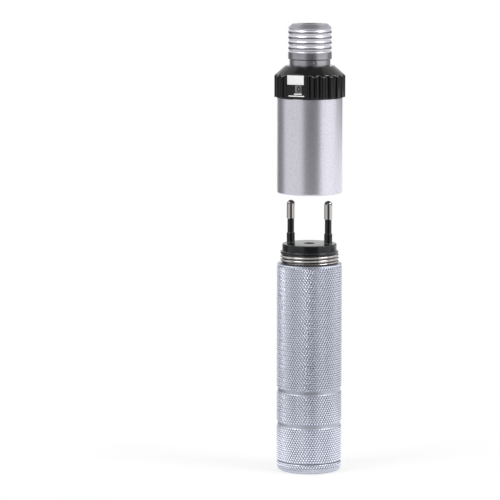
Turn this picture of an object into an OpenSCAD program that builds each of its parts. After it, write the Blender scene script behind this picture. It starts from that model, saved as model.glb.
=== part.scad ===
// Rechargeable battery handle of an otoscope, standing upright.
// The control section is drawn unscrewed and lifted off the charging pins.
// Millimetres, +Z up, origin at the centre of the end cap's underside.
// The charging pins lie on the X axis.

/* [Barrel] */
// Outside diameter of the barrel, the end cap and the upper sleeve
barrel_d = 32; // [30:0.5:36]
// Wall of the barrel
barrel_wall = 2.5; // [1.8:0.1:3]
// Length of the barrel, from the cap's seal to its shoulder
barrel_len = 97.8; // [92:0.5:112]
// Width of the two smooth grooves round the grip
groove_w = 1.9; // [1:0.1:3]
// Depth of the grooves
groove_depth = 0.5; // [0.2:0.1:1]
// Height of the lower groove's middle above the barrel's lower end
lower_groove_up = 18.4; // [12:0.5:24]
// Height of the upper groove's middle above the barrel's lower end
upper_groove_up = 35.2; // [30:0.5:44]
// Chamfer at the edges of the barrel and its grooves
edge_chamfer = 0.4; // [0.2:0.1:0.8]

/* [End cap] */
// Height of the part of the cap that shows
cap_h = 4.8; // [4:0.2:8]
// Rounding of the cap's lower edge
cap_edge_r = 2.6; // [1:0.2:3.6]
// Height of the threaded stub inside the barrel
cap_stub_h = 6; // [4:0.5:8]
// Thickness of the flat seal between the cap and the barrel
seal_t = 0.4; // [0.3:0.1:1]
// How far the seal sits back from the barrel's surface
seal_inset = 0.5; // [0.3:0.1:1]

/* [Battery] */
// Wall of the liner between the cells and the barrel
liner_wall = 2.05; // [1:0.05:3]
// Height of a cell
cell_h = 28; // [24:0.5:31]
// Thickness of the strip that joins the two cells
strip_t = 0.4; // [0.2:0.1:0.8]
// Thickness of the insulating disc above the cells
insulator_t = 0.8; // [0.5:0.1:1.5]
// Outside diameter of the battery spring
battery_spring_d = 16; // [12:0.5:18]
// Wire diameter of the battery spring
battery_wire_d = 1; // [0.7:0.1:1.3]
// Curls of the battery spring
battery_curls = 5; // [4:1:7]

/* [Charging plug] */
// Distance between the two charging pins
pin_pitch = 19; // [17.5:0.25:19.5]
// Diameter of a pin's bare tip and of its insulating foot
pin_d = 4; // [3.6:0.1:4.2]
// Diameter of the thin insulating sleeve
pin_sleeve_d = 3.3; // [3:0.1:3.5]
// Diameter of the shank inside the sleeve
pin_shank_d = 2.5; // [2:0.1:2.6]
// Height of a pin above the plug's face
pin_rise = 21.2; // [18:0.2:23]
// Length of the bare tip
pin_tip_len = 9.3; // [8:0.1:10.5]
// Height of the insulating foot
pin_foot_h = 5.1; // [3:0.1:7]
// Step from the plug's flange in to its face
plug_step = 0.85; // [0.5:0.05:1.2]
// Height of the plug's face above its flange
plug_face_h = 3.6; // [3:0.1:5]
// How far the plug's flange sits back from the thread's crest
plug_inset = 0.25; // [0.1:0.05:0.6]
// Thickness of the plug's flange
plug_flange_h = 1.3; // [1:0.1:2]
// Diameter of the centre contact's recess
contact_recess_d = 5.4; // [5:0.1:6]
// Depth of the recess, down to the centre contact
contact_recess_h = 2.8; // [2:0.1:3.2]
// Depth of the plug's skirt below its flange
skirt_h = 9.4; // [8.8:0.1:11]
// Height of the capacitor under the charger board
capacitor_h = 9.5; // [7:0.5:11]
// Thickness of the charger board
board_t = 1.2; // [0.8:0.1:1.6]

/* [Barrel thread] */
// Height of the thread above the barrel
collar_h = 4.9; // [4.4:0.1:7]
// Pitch of the barrel thread
collar_pitch = 1.63; // [1.4:0.01:2.2]
// Depth of the barrel thread
collar_thread_depth = 0.6; // [0.4:0.05:0.8]
// Wall of the collar's spigot
collar_wall = 1.2; // [0.8:0.1:1.5]
// Length of the collar's spigot inside the barrel
collar_spigot = 9; // [6:0.5:11]

/* [Control section] */
// How far the control section is lifted off the barrel
lift = 34.8; // [28:0.2:60]
// Length of the upper sleeve
sleeve_len = 46.9; // [44:0.1:56]
// Wall of the upper sleeve
sleeve_wall = 1.35; // [1.1:0.05:1.8]
// Rounding of the sleeve's lower edge
sleeve_edge_r = 0.7; // [0.3:0.1:1]
// Clearance round the barrel thread
thread_clear = 0.15; // [0.1:0.05:0.3]
// Room above the pins inside the seated sleeve
pin_room = 4.2; // [2:0.1:5]
// Outside diameter of the contact post
post_d = 10; // [9:0.1:10.5]
// Bore of the contact post
post_bore_d = 7.2; // [6.8:0.1:7.4]
// Gap between the plug's face and the end of the seated post
post_clear = 4.4; // [3:0.1:7]
// Diameter of the link contact's tip
link_d = 4; // [3:0.1:4.4]
// Wire diameter of the link spring
link_wire_d = 0.6; // [0.4:0.05:0.8]
// Curls of the link spring
link_curls = 6; // [4:1:7]

/* [Dimmer ring] */
// How far the dimmer ring stands out from the sleeve
ring_overhang = 1.5; // [1:0.1:2.5]
// Wall of the dimmer ring round its hollow
ring_wall = 3; // [2.6:0.1:3.6]
// Roof of the dimmer ring over its hollow, below the cone
ring_roof = 1.85; // [1.6:0.05:3]
// Height of the ring's fluted wall
ring_h = 10.45; // [10:0.05:14]
// Height of the cone above the wall
cone_h = 4.85; // [3.5:0.05:6]
// Diameter of the cone's upper edge
cone_top_d = 24; // [21.8:0.1:26]
// Divisions round the ring; the flat panel takes two of them
flute_divisions = 24; // [20:1:28]
// Depth of a flute
flute_depth = 1; // [0.3:0.05:1.2]
// Radius of the cutter that makes a flute
flute_cut_r = 1.8; // [1.2:0.1:2.2]
// Depth of the flat panel below the ring's crests
panel_depth = 1.5; // [0.6:0.05:1.6]
// Direction of the flat panel, in degrees from +X
panel_angle = -97.3; // [-180:0.1:180]
// Largest turn of the dimmer ring, in degrees
dimmer_turn = 120; // [60:5:150]
// Gap between the ring and its neighbours above and below
ring_gap = 0.2; // [0.1:0.05:0.4]

/* [Dial] */
// Width of the blank label
label_w = 8.6; // [7:0.1:8.8]
// Height of the blank label
label_h = 4.5; // [3:0.1:4.7]
// Sideways place of the label on the panel
label_shift = -0.95; // [-1:0.05:1]
// Width of the dial's plate
dial_w = 3.3; // [2.8:0.1:4]
// Height of the dial's plate
dial_h = 3.5; // [3:0.1:3.8]
// Sideways place of the dial's plate on the panel
dial_shift = 0.5; // [0:0.1:2.2]
// Width of the figure on the dial
figure_w = 1.9; // [1.4:0.1:2.4]
// Height of the figure on the dial
figure_h = 2.8; // [2.2:0.1:3.2]
// Stroke of the figure on the dial
figure_stroke = 0.55; // [0.3:0.05:0.8]
// Thickness of the label and the dial's plate
label_t = 0.15; // [0.1:0.05:0.3]

/* [Head coupling] */
// Outside diameter of the ribbed neck
neck_d = 21.3; // [20:0.1:22]
// Diameter of the relief at the foot of the neck
relief_d = 20; // [19:0.1:21]
// Height of the relief
relief_h = 3; // [2.6:0.1:4]
// Height of the plain band, from the relief to the first groove's middle
band_h = 4.05; // [3:0.05:6]
// Number of grooves between the neck's ribs
neck_grooves = 5; // [3:1:6]
// Distance between the neck's grooves
neck_pitch = 2.58; // [2:0.02:3]
// Depth of the neck's grooves
neck_groove_depth = 0.55; // [0.4:0.05:0.8]
// Height of the topmost rib, from the last groove's middle to the chamfer
last_rib_h = 0.83; // [0.8:0.01:2.5]
// Height of the chamfer at the neck's top
neck_chamfer = 1.9; // [1:0.05:2.5]
// Bore of the head socket
socket_d = 12; // [11:0.1:13]
// Depth of the head socket
socket_h = 13.5; // [11:0.1:13.8]
// Diameter of the core's spigot, on which the dimmer ring turns
spigot_d = 19; // [18:0.1:19.2]
// Diameter of the stub that carries the neck
stub_d = 15; // [14:0.1:15.6]
// Bore through the switch core
core_bore_d = 9; // [8.6:0.1:9.4]
// Diameter of the head plunger's tip
plunger_d = 4; // [3:0.1:4.4]
// Wire diameter of the plunger spring
plunger_wire_d = 0.5; // [0.4:0.05:0.7]
// Curls of the plunger spring
plunger_curls = 4; // [3:1:5]

/* [Clearances] */
// Radial gap of pieces that are pressed or glued together
fit = 0.05; // [0.02:0.01:0.08]
// Radial gap of pieces that turn or slide on each other
run = 0.06; // [0.03:0.01:0.1]
// Gap between stacked pieces
stack_gap = 0.1; // [0.05:0.05:0.2]

/* [Hidden] */
$fn = 64;

// A cut runs this far past the face that it opens
over = 1;

// Heights of the barrel and what is in it
barrel_z = cap_h + seal_t;
shoulder_z = barrel_z + barrel_len;
stub_top_z = barrel_z + cap_stub_h;
seat_t = 0.5;
seat_top_z = stub_top_z + seat_t;
flange_z = shoulder_z + collar_h;
face_z = flange_z + plug_flange_h + plug_face_h;
pin_tip_z = face_z + pin_rise;
skirt_z = flange_z - skirt_h;
board_inset = 0.5;
board_z = skirt_z + board_inset;
board_top_z = board_z + board_t;
capacitor_z = board_z - stack_gap - capacitor_h;
cell_top_z = capacitor_z - stack_gap - insulator_t - stack_gap;
strip_z = cell_top_z - cell_h - strip_t;
cell_low_z = strip_z - cell_h;
contact_top_z = face_z - contact_recess_h;
contact_head_h = 1.5;
tail_len = 0.4;
tail_z = board_z - tail_len;

// Radii of the barrel and what is in it
barrel_r = barrel_d / 2;
barrel_bore_r = barrel_r - barrel_wall;
sleeve_bore_r = barrel_r - sleeve_wall;
collar_r = sleeve_bore_r - thread_clear;
collar_root_r = collar_r - collar_thread_depth;
collar_bore_r = barrel_bore_r - collar_wall;
plug_flange_r = collar_r - plug_inset;
plug_face_r = plug_flange_r - plug_step;
skirt_r = collar_bore_r - fit;
skirt_wall = 0.9;
board_gap = 0.2;
board_r = skirt_r - skirt_wall - board_gap;
liner_out_r = barrel_bore_r - stack_gap;
liner_in_r = liner_out_r - liner_wall;
cell_r = liner_in_r - stack_gap;
contact_stem_r = 1;
pin_tail_r = 0.8;
board_screw_r = 7.5;
screw_shank_r = 0.75;
screw_head_r = 1.3;
screw_head_h = 0.8;
boss_r = 1.9;

// Heights of the control section, as it is drawn
sleeve_z = shoulder_z + lift;
sleeve_top_z = sleeve_z + sleeve_len;
core_z = pin_tip_z + lift + pin_room;
ring_z = sleeve_top_z + ring_gap;
wall_top_z = ring_z + ring_h;
cone_top_z = wall_top_z + cone_h;
neck_z = cone_top_z + ring_gap;
band_z = neck_z + relief_h;
first_groove_z = band_z + band_h;
last_groove_z = first_groove_z + (neck_grooves - 1) * neck_pitch;
neck_top_z = last_groove_z + last_rib_h + neck_chamfer;
socket_floor_z = neck_top_z - socket_h;
socket_floor_t = 1;
stub_end_z = socket_floor_z - socket_floor_t;
post_end_z = face_z + lift + post_clear;
post_flange_h = 1.5;
post_flange_z = core_z - post_flange_h;
post_lip_h = 1.5;
link_tip_z = contact_top_z + lift + stack_gap;
link_flange_z = post_end_z + post_lip_h;
link_flange_h = 1.5;
link_spring_z = link_flange_z + link_flange_h;
rod_foot_h = 1.2;
rod_foot_drop = 3.5;
rod_foot_z = post_flange_z - rod_foot_drop;
ceiling_z = wall_top_z - ring_roof;
track_base_t = 1.6;
track_t = 0.6;
track_z = sleeve_top_z + track_base_t;
bush_h = 12;
bush_z = stub_end_z - bush_h;
bush_lip_h = 1.1;
plunger_flange_h = 1.2;
plunger_flange_z = stub_end_z - bush_lip_h - plunger_flange_h - stack_gap;
rod_head_h = 1.2;
rod_head_up = 1;
rod_head_z = bush_z + rod_head_up;

// Radii of the control section
core_r = sleeve_bore_r - fit;
post_r = post_d / 2;
post_bore_r = post_bore_d / 2;
post_screw_shank_r = 0.5;
post_screw_head_r = 0.85;
post_screw_head_h = 0.6;
post_screw_len = 4;
post_screw_r = post_r + post_screw_head_r + stack_gap;
post_flange_r = post_screw_r + post_screw_head_r + stack_gap;
link_r = link_d / 2;
link_flange_r = post_bore_r - 2 * fit;
spring_gap = 0.3;
link_spring_r = post_bore_r - spring_gap - link_wire_d / 2;
spigot_r = spigot_d / 2;
stub_r = stub_d / 2;
core_bore_r = core_bore_d / 2;
ring_r = barrel_r + ring_overhang;
panel_r = ring_r - panel_depth;
cavity_r = ring_r - ring_wall;
track_gap = 0.3;
track_out_r = cavity_r - track_gap;
track_in_r = spigot_r + fit;
track_mid_r = (track_out_r + track_in_r) / 2;
bush_wall = 1.25;
bush_bore_r = core_bore_r - fit - bush_wall;
plunger_r = plunger_d / 2;
plunger_flange_r = bush_bore_r - 2 * fit;
plunger_spring_r = bush_bore_r - spring_gap - plunger_wire_d / 2;
rod_r = 1.5;
neck_r = neck_d / 2;
relief_r = relief_d / 2;
socket_r = socket_d / 2;
mouth_chamfer = 0.5;
rib_roundness = 1.75;
rib_steps = 3;

// The neck's grub screw
grub_r = 1;
grub_angle = -60;
grub_z = neck_z + relief_h / 2;
grub_depth = 0.15;
grub_slot_w = 0.4;
grub_slot_h = 0.6;

// The rheostat's track runs beside the wiper's whole turn
wiper_angle = panel_angle + 180;
track_spare = 14;

// Colours
silver = [0.78, 0.79, 0.83];
aluminium = [0.72, 0.72, 0.74];
nickel = [0.70, 0.66, 0.60];
steel = [0.62, 0.63, 0.65];
brass = [0.80, 0.65, 0.33];
black = [0.09, 0.09, 0.10];
slate = [0.16, 0.18, 0.21];
white = [0.95, 0.95, 0.95];
grey = [0.75, 0.76, 0.77];
green = [0.12, 0.34, 0.22];
red = [0.55, 0.16, 0.13];
blue = [0.22, 0.38, 0.60];
card = [0.70, 0.62, 0.46];

// A solid ring, or a rod where the inner radius is zero
module band(in_r, out_r, low, high)
  rotate_extrude()
    translate([in_r, low])
      square([out_r - in_r, high - low]);

// A rod turned in steps: each level has its radius and the height where it ends
module stepped_rod(low, levels) {
  outline = [for (i = [0 : len(levels) - 1]) each
    [[levels[i][0], i == 0 ? low : levels[i - 1][1]], levels[i]]];
  rotate_extrude()
    polygon(concat([[0, low]], outline, [[0, levels[len(levels) - 1][1]]]));
}

// The right half of a disc, to round a turned piece's end
module half_disc(r)
  intersection() {
    circle(r = r);
    translate([0, -r])
      square([r, 2 * r]);
  }

// Outline of a thread's crests, from the bottom up
function thread_outline(root_r, crest_r, pitch, low, turns) =
  let (flank = pitch * 0.22, land = pitch * 0.14)
  [for (turn = [0 : turns - 1]) each
    let (z = low + turn * pitch + land)
    [
      [root_r, z],
      [crest_r, z + flank],
      [crest_r, z + pitch - 2 * land - flank],
      [root_r, z + pitch - 2 * land]
    ]];

// A helical spring: one tube along a helix, with a straight end down on each seat
rings_per_curl = 8;
wire_sides = 6;

function coil_path(mean_r, wire_d, low, high, curls) =
  let (steps = curls * rings_per_curl, rise = high - low - 4 * wire_d)
  concat(
    [[0, low], [0, low + wire_d]],
    [for (i = [0 : steps]) [360 * i / rings_per_curl, low + 2 * wire_d + rise * i / steps]],
    [[0, high - wire_d], [0, high]]
  );

function coil_centre(mean_r, station) =
  [mean_r * cos(station[0]), mean_r * sin(station[0]), station[1]];

function unit(v) = v / norm(v);

// Ring i of the tube, mitred between the stretches before and after it
function coil_ring(centres, angles, i, wire_d) =
  let (
    last = len(centres) - 1,
    before = unit(centres[max(i, 1)] - centres[max(i, 1) - 1]),
    after = unit(centres[min(i, last - 1) + 1] - centres[min(i, last - 1)]),
    along = unit(before + after),
    out = [cos(angles[i]), sin(angles[i]), 0],
    side = unit(cross(along, out)),
    stretch = 1 / max(0.6, along * before)
  )
  [for (k = [0 : wire_sides - 1])
    let (a = 360 * k / wire_sides)
    centres[i] + wire_d / 2 * (cos(a) * out + sin(a) * stretch * side)];

// Least distance between two curls of the tube, from surface to surface
function coil_gap(centres, wire_d) =
  min([for (i = [0 : len(centres) - 1], j = [i + rings_per_curl / 2 : 1 : len(centres) - 1])
    norm(centres[i] - centres[j])]) - wire_d;

module coil_spring(name, mean_r, wire_d, low, high, curls) {
  path = coil_path(mean_r, wire_d, low, high, curls);
  centres = [for (station = path) coil_centre(mean_r, station)];
  angles = [for (station = path) station[0]];
  points = [for (i = [0 : len(path) - 1]) each coil_ring(centres, angles, i, wire_d)];
  top = len(points) - wire_sides;
  walls = [for (i = [0 : len(path) - 2], k = [0 : wire_sides - 1]) each
    let (
      a = i * wire_sides + k,
      b = i * wire_sides + (k + 1) % wire_sides,
      c = b + wire_sides,
      d = a + wire_sides
    )
    [[a, b, c], [a, c, d]]];
  floor_faces = [for (k = [1 : wire_sides - 2]) [0, k + 1, k]];
  top_faces = [for (k = [1 : wire_sides - 2]) [top, top + k, top + k + 1]];
  echo(str("least gap of the ", name, " to itself, mm: "), coil_gap(centres, wire_d));
  polyhedron(points, concat(walls, floor_faces, top_faces));
}

// Handle

module handle_tube() color(silver)
  rotate_extrude() {
    c = edge_chamfer;
    difference() {
      polygon([
        [barrel_bore_r, barrel_z],
        [barrel_r - c, barrel_z],
        [barrel_r, barrel_z + c],
        [barrel_r, shoulder_z - c],
        [barrel_r - c, shoulder_z],
        [barrel_bore_r, shoulder_z]
      ]);
      for (up = [lower_groove_up, upper_groove_up])
        polygon([
          [barrel_r - groove_depth, barrel_z + up - groove_w / 2 + c],
          [barrel_r + c, barrel_z + up - groove_w / 2 - groove_depth],
          [barrel_r + c, barrel_z + up + groove_w / 2 + groove_depth],
          [barrel_r - groove_depth, barrel_z + up + groove_w / 2 - c]
        ]);
    }
  }

module thread_collar() color(nickel)
  rotate_extrude()
    polygon(concat(
      [
        [collar_bore_r, shoulder_z - collar_spigot],
        [barrel_bore_r - fit, shoulder_z - collar_spigot],
        [barrel_bore_r - fit, shoulder_z],
        [collar_root_r, shoulder_z]
      ],
      thread_outline(collar_root_r, collar_r, collar_pitch, shoulder_z,
        floor(collar_h / collar_pitch)),
      [[collar_root_r, flange_z], [collar_bore_r, flange_z]]
    ));

// Places of the two screws that hold the board
module at_board_screws()
  for (side = [-1, 1])
    translate([0, side * board_screw_r, 0])
      children();

module plug_insert() color(slate)
  difference() {
    union() {
      rotate_extrude()
        polygon([
          [0, flange_z],
          [skirt_r - skirt_wall, flange_z],
          [skirt_r - skirt_wall, skirt_z],
          [skirt_r, skirt_z],
          [skirt_r, flange_z],
          [plug_flange_r, flange_z],
          [plug_flange_r, flange_z + plug_flange_h],
          [plug_face_r, flange_z + plug_flange_h],
          [plug_face_r, face_z],
          [0, face_z]
        ]);
      at_board_screws()
        band(0, boss_r, board_top_z, flange_z + plug_flange_h);
    }
    for (side = [-1, 1])
      translate([side * pin_pitch / 2, 0, flange_z - over])
        cylinder(r = pin_shank_d / 2 + fit, h = face_z - flange_z + 2 * over);
    translate([0, 0, contact_top_z - contact_head_h])
      cylinder(r = contact_recess_d / 2, h = face_z - contact_top_z + contact_head_h + over);
    translate([0, 0, flange_z - over])
      cylinder(r = contact_stem_r + fit, h = face_z - flange_z);
    at_board_screws()
      translate([0, 0, board_top_z - over])
        cylinder(r = screw_shank_r + fit, h = flange_z - board_top_z + over / 2);
  }

module mains_pin(side) color(nickel)
  translate([side * pin_pitch / 2, 0, 0]) {
    tip_r = pin_d / 2;
    bare_z = pin_tip_z - pin_tip_len;
    rotate_extrude()
      union() {
        polygon([
          [0, tail_z],
          [pin_tail_r, tail_z],
          [pin_tail_r, flange_z],
          [pin_shank_d / 2, flange_z],
          [pin_shank_d / 2, bare_z],
          [tip_r, bare_z],
          [tip_r, pin_tip_z - tip_r],
          [0, pin_tip_z - tip_r]
        ]);
        translate([0, pin_tip_z - tip_r])
          half_disc(tip_r);
      }
  }

module mains_pin_left() mains_pin(-1);

module mains_pin_right() mains_pin(1);

module pin_sleeve(side) color(black)
  translate([side * pin_pitch / 2, 0, 0]) {
    bore_r = pin_shank_d / 2 + fit;
    rotate_extrude()
      polygon([
        [bore_r, face_z],
        [pin_d / 2, face_z],
        [pin_d / 2, face_z + pin_foot_h],
        [pin_sleeve_d / 2, face_z + pin_foot_h],
        [pin_sleeve_d / 2, pin_tip_z - pin_tip_len],
        [bore_r, pin_tip_z - pin_tip_len]
      ]);
  }

module pin_sleeve_left() pin_sleeve(-1);

module pin_sleeve_right() pin_sleeve(1);

module centre_contact() color(brass)
  stepped_rod(tail_z, [
    [contact_stem_r, contact_top_z - contact_head_h],
    [contact_recess_d / 2 - fit, contact_top_z]
  ]);

module insert_screws() color(steel)
  at_board_screws()
    stepped_rod(board_z - screw_head_h, [[screw_head_r, board_z], [screw_shank_r, flange_z - over]]);

module charger_board() color(green)
  difference() {
    band(0, board_r, board_z, board_top_z);
    for (side = [-1, 1])
      translate([side * pin_pitch / 2, 0, board_z - over])
        cylinder(r = pin_tail_r + fit, h = board_t + 2 * over);
    translate([0, 0, board_z - over])
      cylinder(r = contact_stem_r + fit, h = board_t + 2 * over);
    at_board_screws()
      translate([0, 0, board_z - over])
        cylinder(r = screw_shank_r + fit, h = board_t + 2 * over);
  }

capacitor_w = 13;
capacitor_t = 4.4;
capacitor_y = 1.6;

module dropper_capacitor() color(red)
  translate([-capacitor_w / 2, capacitor_y, capacitor_z])
    cube([capacitor_w, capacitor_t, capacitor_h]);

diode_r = 1.3;
diode_len = 4.5;
diode_x = 4;
diode_rows = [-3, -6];

module rectifier_diodes() color(black)
  for (side = [-1, 1], y = diode_rows)
    translate([side * diode_x - diode_len / 2, y, board_z - stack_gap - diode_r])
      rotate([0, 90, 0])
        cylinder(r = diode_r, h = diode_len);

resistor_r = 1.1;
resistor_len = 7;
resistor_y = 3.5;

module bleed_resistor() color(blue)
  translate([-resistor_len / 2, resistor_y, board_top_z + stack_gap + resistor_r])
    rotate([0, 90, 0])
      cylinder(r = resistor_r, h = resistor_len);

module cell_insulator() color(card)
  band(0, cell_r, cell_top_z + stack_gap, cell_top_z + stack_gap + insulator_t);

button_r = 4.5;
button_h = 1;
strip_r = 6.5;

module battery_cell(low)
  stepped_rod(low, [[cell_r, low + cell_h - button_h], [button_r, low + cell_h]]);

module battery_cell_upper() color(green) battery_cell(strip_z + strip_t);

module battery_cell_lower() color(green) battery_cell(cell_low_z);

module cell_link_strip() color(nickel)
  band(0, strip_r, strip_z, strip_z + strip_t);

module battery_liner() color(card)
  band(liner_in_r, liner_out_r, stub_top_z + stack_gap, shoulder_z - collar_spigot - stack_gap);

module battery_spring() color(steel)
  coil_spring("battery spring", (battery_spring_d - battery_wire_d) / 2, battery_wire_d,
    seat_top_z, cell_low_z, battery_curls);

// End cap

module end_cap() color(silver)
  rotate_extrude()
    union() {
      stub_r = barrel_bore_r - run;
      root_r = stub_r - collar_thread_depth;
      translate([0, cap_edge_r])
        square([barrel_r, cap_h - cap_edge_r]);
      square([barrel_r - cap_edge_r, cap_h]);
      translate([barrel_r - cap_edge_r, cap_edge_r])
        intersection() {
          circle(r = cap_edge_r);
          translate([0, -cap_edge_r])
            square(cap_edge_r);
        }
      polygon(concat(
        [[0, cap_edge_r], [stub_r, cap_edge_r], [stub_r, barrel_z], [root_r, barrel_z]],
        thread_outline(root_r, stub_r, collar_pitch, barrel_z, floor(cap_stub_h / collar_pitch)),
        [[root_r, stub_top_z], [0, stub_top_z]]
      ));
    }

module end_cap_seal() color(black)
  band(barrel_bore_r + fit, barrel_r - seal_inset, cap_h, barrel_z);

module spring_seat() color(brass)
  band(0, battery_spring_d / 2 + 1, stub_top_z, seat_top_z);

// Control section

module upper_sleeve() color(aluminium)
  rotate_extrude()
    difference() {
      union() {
        translate([sleeve_bore_r, sleeve_z + sleeve_edge_r])
          square([barrel_r - sleeve_bore_r, sleeve_len - sleeve_edge_r]);
        translate([sleeve_bore_r, sleeve_z])
          square([barrel_r - sleeve_edge_r - sleeve_bore_r, sleeve_len]);
        translate([barrel_r - sleeve_edge_r, sleeve_z + sleeve_edge_r])
          circle(r = sleeve_edge_r);
      }
      polygon(concat(
        [[sleeve_bore_r - over, sleeve_z]],
        thread_outline(sleeve_bore_r, sleeve_bore_r + collar_thread_depth, collar_pitch,
          sleeve_z + collar_pitch / 2, floor(collar_h / collar_pitch)),
        [[sleeve_bore_r - over, sleeve_z + collar_h + collar_pitch]]
      ));
    }

// Places of the two screws that hold the contact post
module at_post_screws()
  for (side = [-1, 1])
    translate([0, side * post_screw_r, 0])
      children();

// Places of the rivets that hold the rheostat's base, clear of its track
module at_track_rivets()
  for (turn = [-1, 1])
    rotate([0, 0, wiper_angle - dimmer_turn / 2 - turn * 25 + 180 + dimmer_turn])
      translate([track_mid_r, 0, 0])
        children();

rivet_r = 0.8;
rivet_len = 4;
rivet_head_r = 1.35;
rivet_head_h = 0.5;

module switch_core() color(aluminium)
  difference() {
    stepped_rod(core_z, [[core_r, sleeve_top_z], [spigot_r, neck_z], [stub_r, stub_end_z]]);
    translate([0, 0, core_z - over])
      cylinder(r = core_bore_r, h = stub_end_z - core_z + 2 * over);
    at_post_screws()
      translate([0, 0, core_z - over])
        cylinder(r = post_screw_shank_r + fit, h = post_screw_len + over);
    at_track_rivets()
      translate([0, 0, sleeve_top_z - rivet_len])
        cylinder(r = rivet_r + fit, h = rivet_len + over);
  }

module coupling_neck() color(aluminium)
  difference() {
    rotate_extrude()
      difference() {
        polygon([
          [0, neck_z],
          [relief_r, neck_z],
          [relief_r, band_z],
          [neck_r, band_z],
          [neck_r, neck_top_z - neck_chamfer],
          [neck_r - neck_chamfer, neck_top_z],
          [0, neck_top_z]
        ]);
        for (z = [first_groove_z : neck_pitch : last_groove_z + neck_pitch / 2])
          polygon([
            [neck_r + over, z - neck_pitch / 2],
            for (i = [-rib_steps : rib_steps])
              let (share = i / rib_steps)
              [
                neck_r - neck_groove_depth * pow(1 - abs(share), rib_roundness),
                z + share * neck_pitch / 2
              ],
            [neck_r + over, z + neck_pitch / 2]
          ]);
        translate([0, neck_z - over])
          square([stub_r + fit, stub_end_z - neck_z + over]);
        translate([0, neck_z])
          square([plunger_r + run, socket_h + neck_top_z - neck_z]);
        translate([0, socket_floor_z])
          square([socket_r, socket_h + over]);
        polygon([
          [0, neck_top_z - mouth_chamfer],
          [socket_r, neck_top_z - mouth_chamfer],
          [socket_r + mouth_chamfer + over, neck_top_z + over],
          [0, neck_top_z + over]
        ]);
      }
    rotate([0, 0, grub_angle])
      translate([stub_r - fit, 0, grub_z])
        rotate([0, 90, 0])
          cylinder(r = grub_r + fit, h = relief_r);
  }

module neck_set_screw() color(steel)
  rotate([0, 0, grub_angle])
    translate([stub_r + fit, 0, grub_z])
      rotate([0, 90, 0])
        difference() {
          length = relief_r - grub_depth - stub_r - fit;
          cylinder(r = grub_r, h = length);
          translate([-grub_r - over, -grub_slot_w / 2, length - grub_slot_h])
            cube([2 * (grub_r + over), grub_slot_w, grub_slot_h + over]);
        }

module neck_bush() color(white)
  difference() {
    band(0, core_bore_r - fit, bush_z, stub_end_z);
    translate([0, 0, bush_z - over])
      cylinder(r = bush_bore_r, h = bush_h - bush_lip_h + over);
    translate([0, 0, bush_z])
      cylinder(r = plunger_r + run, h = bush_h + over);
  }

module rheostat_base() color(card)
  difference() {
    band(track_in_r, track_out_r, sleeve_top_z, track_z);
    at_track_rivets()
      translate([0, 0, sleeve_top_z - over])
        cylinder(r = rivet_r + fit, h = track_base_t + 2 * over);
  }

track_w = 2.6;

module resistor_track() color(black)
  rotate([0, 0, wiper_angle - track_spare])
    translate([0, 0, track_z])
      rotate_extrude(angle = dimmer_turn + 2 * track_spare)
        translate([track_mid_r - track_w / 2, 0])
          square([track_w, track_t]);

module track_rivets() color(brass)
  at_track_rivets()
    stepped_rod(sleeve_top_z - rivet_len, [[rivet_r, track_z], [rivet_head_r, track_z + rivet_head_h]]);

module contact_post() color(white)
  difference() {
    stepped_rod(post_end_z, [[post_r, post_flange_z], [post_flange_r, core_z]]);
    translate([0, 0, link_flange_z])
      cylinder(r = post_bore_r, h = core_z - link_flange_z + over);
    translate([0, 0, post_end_z - over])
      cylinder(r = link_r + run, h = post_lip_h + 2 * over);
    at_post_screws()
      translate([0, 0, post_flange_z - over])
        cylinder(r = post_screw_shank_r + fit, h = post_flange_h + 2 * over);
  }

module post_screws() color(steel)
  at_post_screws()
    stepped_rod(post_flange_z - post_screw_head_h, [
      [post_screw_head_r, post_flange_z],
      [post_screw_shank_r, core_z + post_screw_len - stack_gap]
    ]);

module feed_rod() color(brass)
  stepped_rod(rod_foot_z, [
    [post_bore_r - fit, rod_foot_z + rod_foot_h],
    [rod_r, rod_head_z],
    [bush_bore_r - fit, rod_head_z + rod_head_h]
  ]);

module plunger_spring() color(steel)
  coil_spring("plunger spring", plunger_spring_r, plunger_wire_d,
    rod_head_z + rod_head_h, plunger_flange_z, plunger_curls);

// Dimmer ring

// Moves what is drawn in the panel's plane onto the panel: x to the right, y up
module on_panel(out)
  rotate([0, 0, panel_angle + 90])
    translate([0, -panel_r - out, 0])
      rotate([90, 0, 0])
        children();

module dimmer_ring() color(black)
  difference() {
    rotate_extrude()
      polygon([
        [cavity_r, ring_z],
        [ring_r, ring_z],
        [ring_r, wall_top_z],
        [cone_top_d / 2, cone_top_z],
        [spigot_r + run, cone_top_z],
        [spigot_r + run, ceiling_z],
        [cavity_r, ceiling_z]
      ]);
    for (i = [1 : flute_divisions - 2])
      rotate([0, 0, panel_angle + 360 / flute_divisions * (i + 0.5)])
        translate([ring_r + flute_cut_r - flute_depth, 0, ring_z - over])
          cylinder(r = flute_cut_r, h = cone_top_z - ring_z + 2 * over);
    on_panel(0)
      translate([-ring_r, ring_z - over, -over])
        cube([2 * ring_r, cone_top_z - ring_z + 2 * over, over + ring_r]);
    rotate([0, 0, wiper_angle])
      translate([track_mid_r, 0, ceiling_z - over])
        cylinder(r = rivet_r + fit, h = over + wiper_rivet_len);
  }

dial_low = 3.05;
dial_gap = 0.3;
bar_h = 0.55;
bar_gap = 0.45;
bar_shifts = [0.3, -0.5];
bar_widths = [4, 8.2];
figure_shift = 0.3;
figure_t = 0.1;

module label_plate() color(white)
  on_panel(label_t)
    translate([label_shift - label_w / 2, ring_z + dial_low + dial_h + dial_gap, -label_t])
      cube([label_w, label_h, label_t]);

module dial_plate() color(grey)
  on_panel(label_t)
    translate([dial_shift - dial_w / 2, ring_z + dial_low, -label_t])
      cube([dial_w, dial_h, label_t]);

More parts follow.
